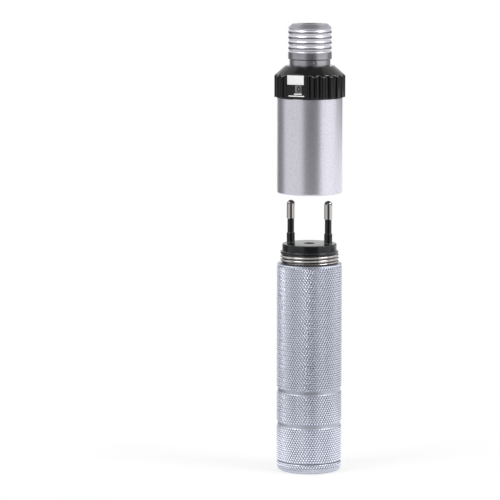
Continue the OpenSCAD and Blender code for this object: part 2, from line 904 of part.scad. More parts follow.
// A tall round figure: two half rounds and the straight sides between them
module round_figure(w, h) {
  for (side = [-1, 1])
    translate([0, side * (h - w) / 2])
      circle(d = w);
  square([w, h - w], center = true);
}

module dial_figure() color(black)
  on_panel(label_t)
    translate([dial_shift + figure_shift, ring_z + dial_low + dial_h / 2, 0])
      linear_extrude(figure_t)
        difference() {
          round_figure(figure_w, figure_h);
          round_figure(figure_w - 2 * figure_stroke, figure_h - 2 * figure_stroke);
        }

module dial_bars() color(white)
  for (step = [0 : len(bar_widths) - 1])
    on_panel(label_t)
      translate([
        bar_shifts[step] - bar_widths[step] / 2,
        ring_z + dial_low - (step + 1) * (bar_h + bar_gap),
        -label_t
      ])
        cube([bar_widths[step], bar_h, label_t]);

wiper_w = 3;
wiper_t = 0.4;
wiper_half = 2.2;
wiper_rivet_len = 1.6;

// The wiper's strip, seen along the radius: foot on the ring's ceiling, leg down to the track
module wiper_arm() color(brass)
  rotate([0, 0, wiper_angle])
    translate([track_mid_r - wiper_w / 2, 0, 0])
      rotate([90, 0, 90])
        difference() {
          contact_z = track_z + track_t + stack_gap;
          linear_extrude(wiper_w)
            polygon([
              [-wiper_half, ceiling_z],
              [-wiper_half, ceiling_z - wiper_t],
              [wiper_half - wiper_t, ceiling_z - wiper_t],
              [wiper_half - wiper_t, contact_z + wiper_t],
              [-wiper_half, contact_z + wiper_t],
              [-wiper_half, contact_z],
              [wiper_half, contact_z],
              [wiper_half, ceiling_z]
            ]);
          translate([0, ceiling_z + over, wiper_w / 2])
            rotate([90, 0, 0])
              cylinder(r = rivet_r + fit, h = 2 * over + wiper_t);
        }

module wiper_rivet() color(brass)
  rotate([0, 0, wiper_angle])
    translate([track_mid_r, 0, 0])
      stepped_rod(ceiling_z - wiper_t - rivet_head_h, [
        [rivet_head_r, ceiling_z - wiper_t],
        [rivet_r, ceiling_z + wiper_rivet_len - stack_gap]
      ]);

// Sprung contacts

module head_plunger() color(brass)
  stepped_rod(plunger_flange_z, [
    [plunger_flange_r, plunger_flange_z + plunger_flange_h],
    [plunger_r, socket_floor_z - stack_gap]
  ]);

module link_contact() color(brass)
  rotate_extrude()
    union() {
      translate([0, link_tip_z + link_r])
        half_disc(link_r);
      polygon([
        [0, link_tip_z + link_r],
        [link_r, link_tip_z + link_r],
        [link_r, link_flange_z],
        [link_flange_r, link_flange_z],
        [link_flange_r, link_spring_z],
        [0, link_spring_z]
      ]);
    }

module link_spring() color(steel)
  coil_spring("link spring", link_spring_r, link_wire_d, link_spring_z, rod_foot_z, link_curls);

handle_tube();
thread_collar();
plug_insert();
mains_pin_left();
mains_pin_right();
pin_sleeve_left();
pin_sleeve_right();
centre_contact();
insert_screws();
charger_board();
dropper_capacitor();
rectifier_diodes();
bleed_resistor();
cell_insulator();
battery_cell_upper();
battery_cell_lower();
cell_link_strip();
battery_liner();
battery_spring();
end_cap();
end_cap_seal();
spring_seat();
upper_sleeve();
switch_core();
coupling_neck();
neck_set_screw();
neck_bush();
rheostat_base();
resistor_track();
track_rivets();
contact_post();
post_screws();
feed_rod();
plunger_spring();
dimmer_ring();
label_plate();
dial_plate();
dial_figure();
dial_bars();
wiper_arm();
wiper_rivet();
head_plunger();
link_contact();
link_spring();
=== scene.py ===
"""Dresses an otoscope's battery handle: turned metals, knurling, threads, plastics and a plain studio."""

import math

import bmesh
import bpy
from bpy.props import FloatProperty, FloatVectorProperty, IntProperty, PointerProperty
from mathutils import Matrix, Vector


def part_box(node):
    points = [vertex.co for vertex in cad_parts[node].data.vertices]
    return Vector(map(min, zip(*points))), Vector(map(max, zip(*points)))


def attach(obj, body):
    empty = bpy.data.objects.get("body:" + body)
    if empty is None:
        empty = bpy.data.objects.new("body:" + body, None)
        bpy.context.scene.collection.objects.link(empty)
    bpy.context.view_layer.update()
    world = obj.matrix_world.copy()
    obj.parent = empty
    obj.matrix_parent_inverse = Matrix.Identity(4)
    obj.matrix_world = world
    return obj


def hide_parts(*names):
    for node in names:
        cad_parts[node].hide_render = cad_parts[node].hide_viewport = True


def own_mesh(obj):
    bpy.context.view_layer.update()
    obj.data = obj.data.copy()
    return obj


bl_info = {
    "name": "Otoscope Battery Handle",
    "version": (1, 0, 0),
    "blender": (4, 5, 0),
    "location": "View3D > Sidebar > Handle",
    "description": "Models and finishes the rechargeable battery handle of an otoscope",
    "category": "Add Mesh",
}

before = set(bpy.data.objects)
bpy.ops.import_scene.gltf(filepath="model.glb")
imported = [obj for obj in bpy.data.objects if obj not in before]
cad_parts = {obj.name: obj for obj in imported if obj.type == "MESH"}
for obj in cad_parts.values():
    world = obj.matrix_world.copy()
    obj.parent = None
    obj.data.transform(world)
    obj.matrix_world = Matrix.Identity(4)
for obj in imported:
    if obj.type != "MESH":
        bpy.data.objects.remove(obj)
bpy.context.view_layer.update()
MM = 0.001
SAME_POINT = 2e-6
SEAT_GAP = 0.03 * MM

# Segments round small turned pieces, flat pieces and cutters, and to each division of the ring
PIN_SIDES = 48
FLUTE_SIDES = 48
FIGURE_SIDES = 40
BOSS_SIDES = 32
HOLE_SIDES = 24
CARD_SIDES = 64
FLOOR_SIDES = 96
DIVISION_SIDES = 5


# Places taken from the CAD nodes


def low(node):
    """Lowest height of a CAD node."""
    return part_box(node)[0].z


def high(node):
    """Greatest height of a CAD node."""
    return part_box(node)[1].z


def radius_of(node):
    """Outer radius of a round CAD node on the Z axis."""
    corner_low, corner_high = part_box(node)
    return (corner_high.x - corner_low.x) / 2


def middle_of(node):
    """Middle of a CAD node's box."""
    corner_low, corner_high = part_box(node)
    return (corner_low + corner_high) / 2


# Sizes and colours that a user would change


def length(name, description, millimetres):
    """A length property, given in millimetres."""
    return FloatProperty(
        name=name,
        description=description,
        default=millimetres * MM,
        unit="LENGTH",
        subtype="DISTANCE",
        precision=5,
    )


def angle(name, description, degrees):
    """An angle property, given in degrees."""
    return FloatProperty(
        name=name,
        description=description,
        default=math.radians(degrees),
        unit="ROTATION",
        subtype="ANGLE",
    )


def count(name, description, number):
    """A whole number property."""
    return IntProperty(name=name, description=description, default=number, min=1)


def factor(name, description, value):
    """A plain number property."""
    return FloatProperty(name=name, description=description, default=value, precision=4)


def colour(name, description, red, green, blue):
    """A colour property in linear light."""
    return FloatVectorProperty(
        name=name,
        description=description,
        default=(red, green, blue),
        subtype="COLOR",
        size=3,
        min=0.0,
        max=1.0,
    )


class BarrelSizes(bpy.types.PropertyGroup):
    """Sizes of the knurled barrel and its cap."""

    wall: length("Wall", "Wall of the barrel", 2.5)
    groove_width: length("Groove width", "Width of a smooth groove at its bottom", 1.5)
    groove_depth: length("Groove depth", "Depth of a smooth groove", 0.5)
    lower_groove: length("Lower groove", "Height of the lower groove above the barrel's end", 18.4)
    upper_groove: length("Upper groove", "Height of the upper groove above the barrel's end", 35.2)
    rim: length("Rim", "Height of the smooth rim at the barrel's top", 0.9)
    edge: length("Edge", "Chamfer where the knurl ends", 0.35)
    seam: length("Seam", "Chamfer at the seam of barrel and cap", 0.06)
    cap_edge: length("Cap edge", "Rounding of the cap's lower edge", 2.6)
    cap_thread_pitch: length("Cap pitch", "Pitch of the cap's own thread", 1.63)
    cap_thread_depth: length("Cap thread depth", "Depth of the cap's own thread", 0.6)


class KnurlSizes(bpy.types.PropertyGroup):
    """Sizes of the diamond knurl."""

    columns: count("Columns", "Diamonds round the barrel", 72)
    row: length("Row height", "Height of a diamond", 2.23)
    lean: angle("Lean", "Lean of the diamonds' columns to the left", 6)
    depth: length("Depth", "Height of a diamond above its valleys", 0.32)
    flank: length("Flank", "Width of a diamond's sloping side", 0.42)
    cap_flank: length("Cap flank", "Width of a sloping side on the cap", 0.4)


class ThreadSizes(bpy.types.PropertyGroup):
    """Sizes of the threads and the neck."""

    sides: count("Sides", "Segments round a turned piece", 128)
    neck_grooves: count("Neck grooves", "Grooves between the neck's ribs", 5)
    neck_pitch: length("Neck pitch", "Distance between the neck's grooves", 2.58)
    neck_depth: length("Neck depth", "Depth of the neck's grooves", 0.55)
    band_edge: length("Band edge", "Height of the band's rounded upper edge", 0.9)
    relief_radius: length("Relief radius", "Radius of the relief at the neck's foot", 10.0)
    relief_height: length("Relief height", "Height of the relief", 3.0)
    band_height: length("Band height", "From the relief to the first groove's middle", 4.05)
    neck_chamfer: length("Neck chamfer", "Chamfer at the neck's top", 1.9)
    socket_radius: length("Socket radius", "Bore of the head socket", 6.0)
    socket_depth: length("Socket depth", "Depth of the head socket", 13.5)
    stub_radius: length("Stub radius", "Bore that takes the core's stub", 7.55)
    stub_end: length("Stub end", "Floor between the stub and the socket", 1.0)
    plunger_hole: length("Plunger hole", "Radius of the hole for the plunger", 2.06)
    plunger_travel: length("Plunger travel", "How far the head plunger goes in", 2.0)
    link_travel: length("Link travel", "How far the link contact goes up", 1.5)
    screw_hole: length("Screw hole", "Radius of the grub screw's hole", 1.05)
    collar_pitch: length("Collar pitch", "Pitch of the barrel thread", 1.67)
    collar_depth: length("Collar depth", "Depth of the barrel thread", 0.72)
    collar_bore: length("Collar bore", "Radius of the collar's bore", 12.3)
    sleeve_bore: length("Sleeve bore", "Radius of the upper sleeve's bore", 14.65)
    sleeve_edge: length("Sleeve edge", "Rounding of the sleeve's lower edge", 0.7)


class RingSizes(bpy.types.PropertyGroup):
    """Sizes of the dimmer ring and its dial."""

    cavity: length("Cavity", "Radius of the hollow in the ring", 14.5)
    roof: length("Roof", "Roof over the hollow, below the cone", 1.85)
    wall_height: length("Wall height", "Height of the fluted wall", 10.45)
    cone_top: length("Cone top", "Radius of the cone's upper edge", 12.0)
    bore: length("Bore", "Radius of the ring's bore", 9.56)
    divisions: count("Divisions", "Divisions round the ring; the panel takes two", 24)
    flute_depth: length("Flute depth", "Depth of a flute", 1.0)
    flute_radius: length("Flute radius", "Radius of the cutter of a flute", 1.8)
    edge: length("Edge", "Rounding of the moulded edges", 0.3)
    panel_depth: length("Panel depth", "Depth of the flat panel", 1.5)
    panel_angle: angle("Panel angle", "Direction of the flat panel from +X", -97.3)
    rivet_hole: length("Rivet hole", "Radius of the wiper's rivet hole", 0.85)
    rivet_depth: length("Rivet depth", "Depth of the wiper's rivet hole", 1.6)
    label_width: length("Label width", "Width of the blank label", 8.6)
    label_height: length("Label height", "Height of the blank label", 4.5)
    label_shift: length("Label shift", "Sideways place of the label", -0.95)
    plate_thickness: length("Plate thickness", "Thickness of the label and the dial", 0.15)
    dial_width: length("Dial width", "Width of the dial's plate", 3.3)
    dial_height: length("Dial height", "Height of the dial's plate", 3.5)
    dial_shift: length("Dial shift", "Sideways place of the dial's plate", 0.5)
    dial_low: length("Dial low", "Height of the dial's plate above the ring's foot", 3.05)
    dial_gap: length("Dial gap", "Gap between the dial and the label", 0.3)
    figure_width: length("Figure width", "Width of the figure", 1.9)
    figure_height: length("Figure height", "Height of the figure", 2.8)
    figure_shift: length("Figure shift", "Sideways place of the figure on its plate", 0.3)
    figure_stroke: length("Figure stroke", "Stroke of the figure", 0.55)
    figure_thickness: length("Figure thickness", "Thickness of the figure", 0.1)
    bar_height: length("Bar height", "Height of a white bar", 0.55)
    bar_gap: length("Bar gap", "Gap above a white bar", 0.45)
    short_bar: length("Short bar", "Width of the upper bar", 4.0)
    short_shift: length("Short bar shift", "Sideways place of the upper bar", 0.3)
    long_bar: length("Long bar", "Width of the lower bar", 8.2)
    long_shift: length("Long bar shift", "Sideways place of the lower bar", -0.5)
    corner: length("Corner", "Rounding of a plate's corners", 0.12)


class PlugSizes(bpy.types.PropertyGroup):
    """Sizes of the charging plug and its pins."""

    flange_height: length("Flange height", "Thickness of the plug's flange", 1.3)
    step: length("Step", "Step from the flange in to the face", 0.85)
    rim: length("Rim", "Rounding of the plug's upper rim", 0.55)
    skirt_wall: length("Skirt wall", "Wall of the skirt", 0.9)
    skirt_gap: length("Skirt gap", "Gap between the skirt and the collar", 0.05)
    recess_radius: length("Recess radius", "Radius of the centre contact's recess", 2.7)
    pin_radius: length("Pin radius", "Radius of a pin's bare tip", 2.0)
    tip_length: length("Tip length", "Length of the bare tip", 9.3)
    shank_radius: length("Shank radius", "Radius of a pin's shank", 1.25)
    tail_radius: length("Tail radius", "Radius of a pin's tail", 0.8)
    sleeve_radius: length("Sleeve radius", "Radius of the thin insulation", 1.65)
    foot_height: length("Foot height", "Height of the thick insulation", 5.1)
    tip_waist: length("Tip waist", "Chamfer at the lower end of the bare tip", 0.25)
    boss_radius: length("Boss radius", "Radius of a screw boss under the plug", 1.9)
    boss_place: length("Boss place", "Distance of a screw boss from the axis", 7.5)


class FinishColours(bpy.types.PropertyGroup):
    """Colours of the finishes, in linear light."""

    silver: colour("Knurled silver", "Anodised knurl", 0.755, 0.785, 0.895)
    satin: colour("Satin silver", "Turned sleeve", 0.76, 0.75, 0.83)
    bright: colour("Bright silver", "Polished neck", 0.62, 0.61, 0.67)
    nickel: colour("Nickel", "Plated pins and collar", 0.6, 0.575, 0.565)
    brass: colour("Brass", "Contacts", 0.80, 0.60, 0.28)
    steel: colour("Steel", "Screws and springs", 0.56, 0.57, 0.58)
    black: colour("Black plastic", "Dimmer ring", 0.0025, 0.0025, 0.003)
    ink: colour("Black insulation", "Pin sleeves", 0.0025, 0.0025, 0.003)
    rubber: colour("Rubber", "Seal of the end cap", 0.14, 0.14, 0.145)
    slate: colour("Slate plastic", "Charging plug", 0.006, 0.008, 0.0105)
    white: colour("White", "Label and inner mouldings", 0.9, 0.9, 0.9)
    grey: colour("Dial grey", "Dial plate", 0.16, 0.16, 0.168)
    board: colour("Board green", "Charger board", 0.015, 0.11, 0.045)
    red: colour("Capacitor red", "Capacitor case", 0.28, 0.025, 0.018)
    blue: colour("Resistor blue", "Resistor lacquer", 0.045, 0.13, 0.32)
    card: colour("Card", "Insulating card", 0.45, 0.34, 0.18)
    jacket: colour("Cell jacket", "Shrink jacket of the cells", 0.02, 0.16, 0.07)


class StageSizes(bpy.types.PropertyGroup):
    """Camera, lights and floor."""

    distance: length("Camera distance", "Distance from the camera to the handle", 1500.0)
    azimuth: angle("Camera azimuth", "Direction of the camera round the handle", 16.0)
    pitch: angle("Camera pitch", "How far the camera looks down", 7.3)
    aim_height: length("Aim height", "Height of the middle of the picture", 109.4)
    aim_shift: length("Aim shift", "How far left of the handle the camera aims", 29.2)
    lens: factor("Lens", "Focal length in millimetres on a 36 mm sensor", 219.7)
    floor_radius: length("Floor radius", "Radius of the floor", 120.0)
    floor_tone: factor("Floor tone", "Grey of the floor under the light", 0.36)
    floor_glow: factor("Floor glow", "White that the floor shows by itself", 0.62)
    ambient: factor("Ambient", "Even light of the studio", 0.75)
    box_distance: length("Softbox distance", "Distance of a softbox", 1100.0)
    box_width: length("Softbox width", "Width of a softbox", 540.0)
    box_height: length("Softbox height", "Height of a softbox", 460.0)
    box_radiance: factor("Softbox radiance", "Brightness of a softbox's face", 6.0)
    bounce_radius: length("Bounce radius", "Radius of the bright floor that the metal reflects", 45.0)
    bounce_hole: length("Bounce hole", "Radius of the shaded floor in its middle", 18.5)
    bounce_tone: factor("Bounce tone", "Brightness of that floor", 1.6)
    ceiling_height: length("Ceiling height", "Height of the dim card overhead", 1200.0)
    ceiling_radius: length("Ceiling radius", "Radius of the dim card overhead", 550.0)
    ceiling_tone: factor("Ceiling tone", "Grey of the card overhead", 0.42)


# Modelling by hand, as short steps


def close():
    """Closes edit mode."""
    bpy.ops.object.mode_set(mode="OBJECT")


def deselect():
    """Goes back to object mode with nothing selected."""
    if bpy.context.object and bpy.context.object.mode != "OBJECT":
        close()
    bpy.ops.object.select_all(action="DESELECT")


def pick(piece):
    """Selects one piece alone and makes it the active one."""
    deselect()
    piece.select_set(True)
    bpy.context.view_layer.objects.active = piece


def edit(piece, selection="SELECT"):
    """Opens one piece in edit mode with all of it selected, or with another selection."""
    pick(piece)
    bpy.ops.object.mode_set(mode="EDIT")
    bpy.ops.mesh.select_mode(type="VERT")
    bpy.ops.mesh.select_all(action=selection)


def added(name):
    """The primitive just added, named, with its place moved into its mesh."""
    piece = bpy.context.object
    piece.name = name
    piece.data.name = name
    bpy.ops.object.transform_apply(location=True, rotation=True, scale=True)
    return piece


def next_ring(ring, following):
    """Extrudes the selected ring to the next radius and height."""
    (radius, height), (next_radius, next_height) = ring, following
    bpy.ops.mesh.extrude_region_move(TRANSFORM_OT_translate={"value": (0, 0, next_height - height)})
    ratio = next_radius / radius
    bpy.ops.transform.resize(value=(ratio, ratio, 1), center_override=(0, 0, next_height))


def turn(name, outline, sides, closed=True):
    """Turns an outline of (radius, height) points; an open one gets a flat face at both ends."""
    deselect()
    radius, height = outline[0]
    bpy.ops.mesh.primitive_circle_add(vertices=sides, radius=radius, location=(0, 0, height))
    piece = added(name)
    edit(piece)
    stations = outline + outline[:1] if closed else outline
    for ring, following in zip(stations, stations[1:]):
        next_ring(ring, following)
    if closed:
        bpy.ops.mesh.select_all(action="SELECT")
        bpy.ops.mesh.remove_doubles(threshold=SAME_POINT)
    else:
        bpy.ops.mesh.edge_face_add()
        bpy.ops.mesh.select_all(action="DESELECT")
        bpy.ops.mesh.select_non_manifold(
            use_wire=False,
            use_multi_face=False,
            use_non_contiguous=False,
            use_verts=False,
        )
        bpy.ops.mesh.edge_face_add()
    outwards()
    return piece


def outwards():
    """Turns every face of the open piece outwards and closes edit mode."""
    bpy.ops.mesh.select_all(action="SELECT")
    bpy.ops.mesh.normals_make_consistent(inside=False)
    close()


def arc(centre, radius, start, end, steps):
    """Points of an arc in the (radius, height) plane, with angles in degrees from straight out."""
    angles = [math.radians(start + (end - start) * i / steps) for i in range(steps + 1)]
    return [(centre[0] + radius * math.cos(a), centre[1] + radius * math.sin(a)) for a in angles]


def apply_modifier(piece, kind, **settings):
    """Adds a modifier with its settings and applies it."""
    pick(piece)
    bpy.ops.object.modifier_add(type=kind)
    modifier = piece.modifiers[-1]
    for key, value in settings.items():
        setattr(modifier, key, value)
    bpy.ops.object.modifier_apply(modifier=modifier.name)


def soften(piece, width, segments, degrees, clamp=True):
    """Rounds the sharp edges of a piece."""
    apply_modifier(
        piece,
        "BEVEL",
        width=width,
        segments=segments,
        limit_method="ANGLE",
        angle_limit=math.radians(degrees),
        use_clamp_overlap=clamp,
    )


def cut(piece, cutter, operation="DIFFERENCE"):
    """Cuts one piece with another, or adds it, and deletes the other."""
    apply_modifier(piece, "BOOLEAN", operation=operation, solver="EXACT", object=cutter)
    bpy.data.objects.remove(cutter, do_unlink=True)


def joined(name, pieces):
    """Joins pieces into one mesh."""
    pick(pieces[0])
    for piece in pieces:
        piece.select_set(True)
    bpy.ops.object.join()
    pieces[0].name = name
    pieces[0].data.name = name
    return pieces[0]


def rod(name, radius, bottom, top, sides, x=0.0, y=0.0):
    """A plain upright rod, to cut with or to shape further."""
    deselect()
    place = (x, y, (bottom + top) / 2)
    bpy.ops.mesh.primitive_cylinder_add(vertices=sides, radius=radius, depth=top - bottom, location=place)
    return added(name)


def twin_rods(name, radius, bottom, top, sides, x=0.0, y=0.0):
    """Two plain rods on either side of the axis, as one piece."""
    rods = [rod(name, radius, bottom, top, sides, side * x, side * y) for side in (-1, 1)]
    return joined(name, rods)


def shade(piece, degrees):
    """Smooths the faces that meet at a small angle."""
    pick(piece)
    bpy.ops.object.shade_smooth_by_angle(angle=math.radians(degrees))


def coat(piece, slot):
    """Gives a piece the finish of a material slot."""
    piece.data.materials.clear()
    piece.data.materials.append(finish(slot))


def done(piece, slot, body, *nodes):
    """Gives a piece the finish of its material slot, hangs it on its body and hides the CAD nodes that it
    stands for.
    """
    coat(piece, slot)
    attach(piece, body)
    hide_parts(*nodes)


# Upward part of a face's normal: edges from nearly upright faces to nearly level ones get a glossier copy
# of the black plastic, for painted glints
GLINT_FROM = 0.08
GLINT_TO = {"ring": 0.7, "plug": 0.95, "pins": 0.99}


def glint_edges(piece, flattest, spared=lambda place: False):
    """Gives sloping edges a glossier copy of the black plastic, for painted glints, apart from those in a
    spared place.
    """
    piece.data.materials.append(finish("rubbed_edge"))
    for face in piece.data.polygons:
        if GLINT_FROM < face.normal.z < flattest and not spared(face.center):
            face.material_index = 1


def swing(turned):
    """Turns what is selected round the handle's axis."""
    bpy.ops.transform.rotate(value=-turned, orient_axis="Z", center_override=(0, 0, 0))


def hollow(piece, rim):
    """Takes the middle out of a flat piece and leaves a rim."""
    edit(piece)
    bpy.ops.mesh.inset(thickness=rim, depth=0)
    bpy.ops.mesh.delete(type="FACE")
    close()


def wind(name, stations, pitch, turns, start_height, start_angle, steps=64):
    """Winds a groove's section upwards round the Z axis: stations are (radius, half width) points."""
    deselect()
    (inner, inner_half), (outer, _) = stations[0], stations[1]
    middle = (inner + outer) / 2
    upright = (math.pi / 2, 0, 0)
    bpy.ops.mesh.primitive_plane_add(size=1, location=(middle, 0, start_height), rotation=upright)
    bpy.context.object.scale = (outer - inner, 2 * inner_half, 1)
    cutter = added(name)
    edit(cutter, "DESELECT")
    select_points(cutter, lambda point: point.x > middle)
    centre = (0, 0, start_height)
    half = inner_half
    for i, (radius, next_half) in enumerate(stations[1:]):
        if i:
            step = radius - stations[i][0]
            bpy.ops.mesh.extrude_region_move(TRANSFORM_OT_translate={"value": (step, 0, 0)})
        bpy.ops.transform.resize(value=(1, 1, next_half / half), center_override=centre)
        half = next_half
    bpy.ops.mesh.select_all(action="SELECT")
    bpy.ops.mesh.dissolve_faces()
    swing(start_angle)
    close()
    apply_modifier(
        cutter,
        "SCREW",
        axis="Z",
        angle=2 * math.pi,
        screw_offset=pitch,
        iterations=turns,
        steps=steps,
        render_steps=steps,
        use_merge_vertices=False,
    )
    edit(cutter)
    bpy.ops.mesh.remove_doubles(threshold=SAME_POINT)
    bpy.ops.mesh.select_all(action="SELECT")
    bpy.ops.mesh.fill_holes(sides=0)
    outwards()
    return cutter


def select_points(piece, wanted):
    """Selects the open piece's points for which wanted is true."""
    mesh = bmesh.from_edit_mesh(piece.data)
    bpy.ops.mesh.select_mode(type="VERT")
    for point in mesh.verts:
        point.select_set(wanted(point.co))
    mesh.select_flush_mode()
    bmesh.update_edit_mesh(piece.data)


def select_faces(piece, wanted):
    """Selects the open piece's faces for which wanted is true."""
    bpy.ops.mesh.select_mode(type="FACE")
    mesh = bmesh.from_edit_mesh(piece.data)
    for face in mesh.faces:
        face.select_set(wanted(face))
    mesh.select_flush_mode()
    bmesh.update_edit_mesh(piece.data)


def lean_over(piece, knurling, radius):
    """Twists a turned piece so that upright lines at a radius lean over."""
    twist = -math.tan(knurling.lean) / radius
    for point in piece.data.vertices:
        point.co.rotate(Matrix.Rotation(twist * point.co.z, 3, "Z"))


# Flank of a half diamond at the end of a knurl, as a share of a whole one's
HALF_DIAMOND = 0.6


def knurl(piece, knurling, flank, in_zone):
    """Rolls a diamond knurl into the faces of a turned piece for which in_zone is true."""
    edit(piece, "DESELECT")
    points_before = len(piece.data.vertices)
    select_faces(piece, in_zone)
    bpy.ops.mesh.poke()
    mesh = bmesh.from_edit_mesh(piece.data)
    mesh.verts.ensure_lookup_table()
    mesh.verts.index_update()
    grid_edges = [
        edge
        for edge in mesh.edges
        if max(point.index for point in edge.verts) < points_before
        and len(edge.link_faces) == 2
        and all(face.select for face in edge.link_faces)
    ]
    bpy.ops.mesh.select_mode(type="EDGE")
    bpy.ops.mesh.select_all(action="DESELECT")
    for edge in grid_edges:
        edge.select_set(True)
    bmesh.update_edit_mesh(piece.data)
    bpy.ops.mesh.dissolve_edges(use_verts=False, use_face_split=False)
    for corners, share in ((4, 1.0), (3, HALF_DIAMOND)):
        select_faces(piece, lambda face: len(face.verts) == corners and in_zone(face))
        bpy.ops.mesh.inset(thickness=share * flank, depth=share * knurling.depth, use_individual=True)
    close()


# Finishes, made from nodes

# Values that most of a noise lies between
NOISE_RANGE = (0.3, 0.7)


class Finish:
    """A material under construction: its node tree and its shader."""

    def __init__(self, name, base, metallic, roughness, **sockets):
        self.material = bpy.data.materials.new(name)
        self.material.use_nodes = True
        self.material.diffuse_color = (*base, 1)
        self.tree = self.material.node_tree
        self.shader = self.tree.nodes["Principled BSDF"]
        self.shader.inputs["Base Color"].default_value = (*base, 1)
        self.shader.inputs["Metallic"].default_value = metallic
        self.shader.inputs["Roughness"].default_value = roughness
        for socket, value in sockets.items():
            self.shader.inputs[socket.replace("_", " ").title()].default_value = value

    def node(self, kind, **settings):
        """Adds a node and sets its own settings."""
        node = self.tree.nodes.new(kind)
        for key, value in settings.items():
            setattr(node, key, value)
        return node

    def link(self, output, node, socket):
        """Links an output to a node's socket."""
        self.tree.links.new(output, node.inputs[socket])

    def place(self, scale):
        """The piece's own coordinates, stretched by a scale along each axis."""
        mapping = self.node("ShaderNodeMapping")
        mapping.inputs["Scale"].default_value = scale
        self.link(self.node("ShaderNodeTexCoord").outputs["Object"], mapping, "Vector")
        return mapping.outputs["Vector"]

    def noise(self, scale, detail=3.0):
        """Soft noise; the scale is per metre along each axis."""
        texture = self.node("ShaderNodeTexNoise")
        texture.inputs["Scale"].default_value = 1.0
        texture.inputs["Detail"].default_value = detail
        self.link(self.place(scale), texture, "Vector")
        return texture.outputs["Fac"]

    def radius(self):
        """Distance from the handle's axis."""
        measure = self.node("ShaderNodeVectorMath", operation="LENGTH")
        self.link(self.place((1, 1, 0)), measure, "Vector")
        return measure.outputs["Value"]

    def combine(self, operation, first, second):
        """Two values, or a value and a number, put together by an operation."""
        math_node = self.node("ShaderNodeMath", operation=operation)
        self.link(first, math_node, 0)
        if isinstance(second, float):
            math_node.inputs[1].default_value = second
        else:
            self.link(second, math_node, 1)
        return math_node.outputs["Value"]

    def height(self):
        """Height above the handle's foot."""
        parts = self.node("ShaderNodeSeparateXYZ")
        self.link(self.place((1, 1, 1)), parts, "Vector")
        return parts.outputs["Z"]

    def length_of(self, across, up):
        """Length of a flat vector."""
        pair_node = self.node("ShaderNodeCombineXYZ")
        self.link(across, pair_node, "X")
        self.link(up, pair_node, "Y")
        measure = self.node("ShaderNodeVectorMath", operation="LENGTH")
        self.link(pair_node.outputs["Vector"], measure, "Vector")
        return measure.outputs["Value"]

    def ramp(self, value, stops):
        """Colours the piece by stops of (position, colour) along a value."""
        ramp = self.node("ShaderNodeValToRGB")
        self.link(value, ramp, "Fac")
        elements = ramp.color_ramp.elements
        elements[0].position, elements[1].position = stops[0][0], stops[-1][0]
        elements[0].color, elements[1].color = (*stops[0][1], 1), (*stops[-1][1], 1)
        for position, tone in stops[1:-1]:
            elements.new(position).color = (*tone, 1)
        self.link(ramp.outputs["Color"], self.shader, "Base Color")

    def spread(self, value, start, end, out_start=0.0, out_end=1.0):
        """Maps a value from one range to another."""
        span = self.node("ShaderNodeMapRange")
        self.link(value, span, "Value")
        limits = {"From Min": start, "From Max": end, "To Min": out_start, "To Max": out_end}
        for socket, number in limits.items():
            span.inputs[socket].default_value = number
        return span.outputs["Result"]

    def tint(self, value, first, second):
        """Colours the piece between two colours."""
        mix = self.node("ShaderNodeMix", data_type="RGBA")
        self.link(value, mix, "Factor")
        ends = [socket for socket in mix.inputs if socket.type == "RGBA"]
        for socket, tone in zip(ends, (first, second)):
            socket.default_value = (*tone, 1)
        result = next(socket for socket in mix.outputs if socket.type == "RGBA")
        self.link(result, self.shader, "Base Color")

    def gloss(self, value, where_low, where_high):
        """Sets the roughness where the value is low and where it is high."""
        self.link(self.spread(value, *NOISE_RANGE, where_low, where_high), self.shader, "Roughness")

    def relief(self, value, depth, strength):
        """Raises the surface by a depth where the value is high."""
        bump = self.node("ShaderNodeBump")
        bump.inputs["Strength"].default_value = strength
        bump.inputs["Distance"].default_value = depth
        self.link(value, bump, "Height")
        self.link(bump.outputs["Normal"], self.shader, "Normal")


def darker(base, share):
    """A colour times a share."""
    return tuple(channel * share for channel in base)


def knurled_silver(colours, barrel, knurling):
    """Clear-anodised aluminium, with painted shade in the knurl's valleys and on the grooves' floors."""
    depth, groove = knurling.depth, barrel.groove_depth
    corner = radius_of("handle_tube") - depth - barrel.cap_edge
    corner_height = low("end_cap") + barrel.cap_edge
    look = Finish("knurled_aluminium", colours.silver, metallic=1.0, roughness=0.3)
    below = look.combine("MINIMUM", look.combine("SUBTRACT", look.height(), corner_height), 0.0)
    reach = look.length_of(look.combine("SUBTRACT", look.radius(), corner), below)
    crest = barrel.cap_edge + depth
    share = look.spread(reach, crest - groove, crest)
    # painted shade: the grooves' floors and the knurl's valleys get a darker silver than the crests
    plain, plain_share = darker(colours.silver, 0.62), 0.2
    valley, valley_share = darker(colours.silver, 0.7), 1 - depth / groove
    look.ramp(share, [(plain_share, plain), (valley_share, valley), (1.0, colours.silver)])
    look.gloss(look.spread(share, plain_share / 2, 2 * plain_share), where_low=0.42, where_high=0.27)
    grain = look.noise((6000, 6000, 6000), detail=2.0)
    look.relief(grain, depth=0.01 * MM, strength=0.4)
    return look.material


def turned_silver(colours):
    """Satin turned aluminium: fine lines round the axis."""
    look = Finish("turned_aluminium", colours.satin, metallic=1.0, roughness=0.38)
    lines = look.noise((60, 60, 9000), detail=4.0)
    grain = look.noise((1500, 1500, 1500), detail=3.0)
    look.tint(look.spread(grain, 0.35, 0.65), darker(colours.satin, 0.85), colours.satin)
    look.gloss(lines, where_low=0.3, where_high=0.38)
    look.relief(grain, depth=0.012 * MM, strength=0.4)
    return look.material


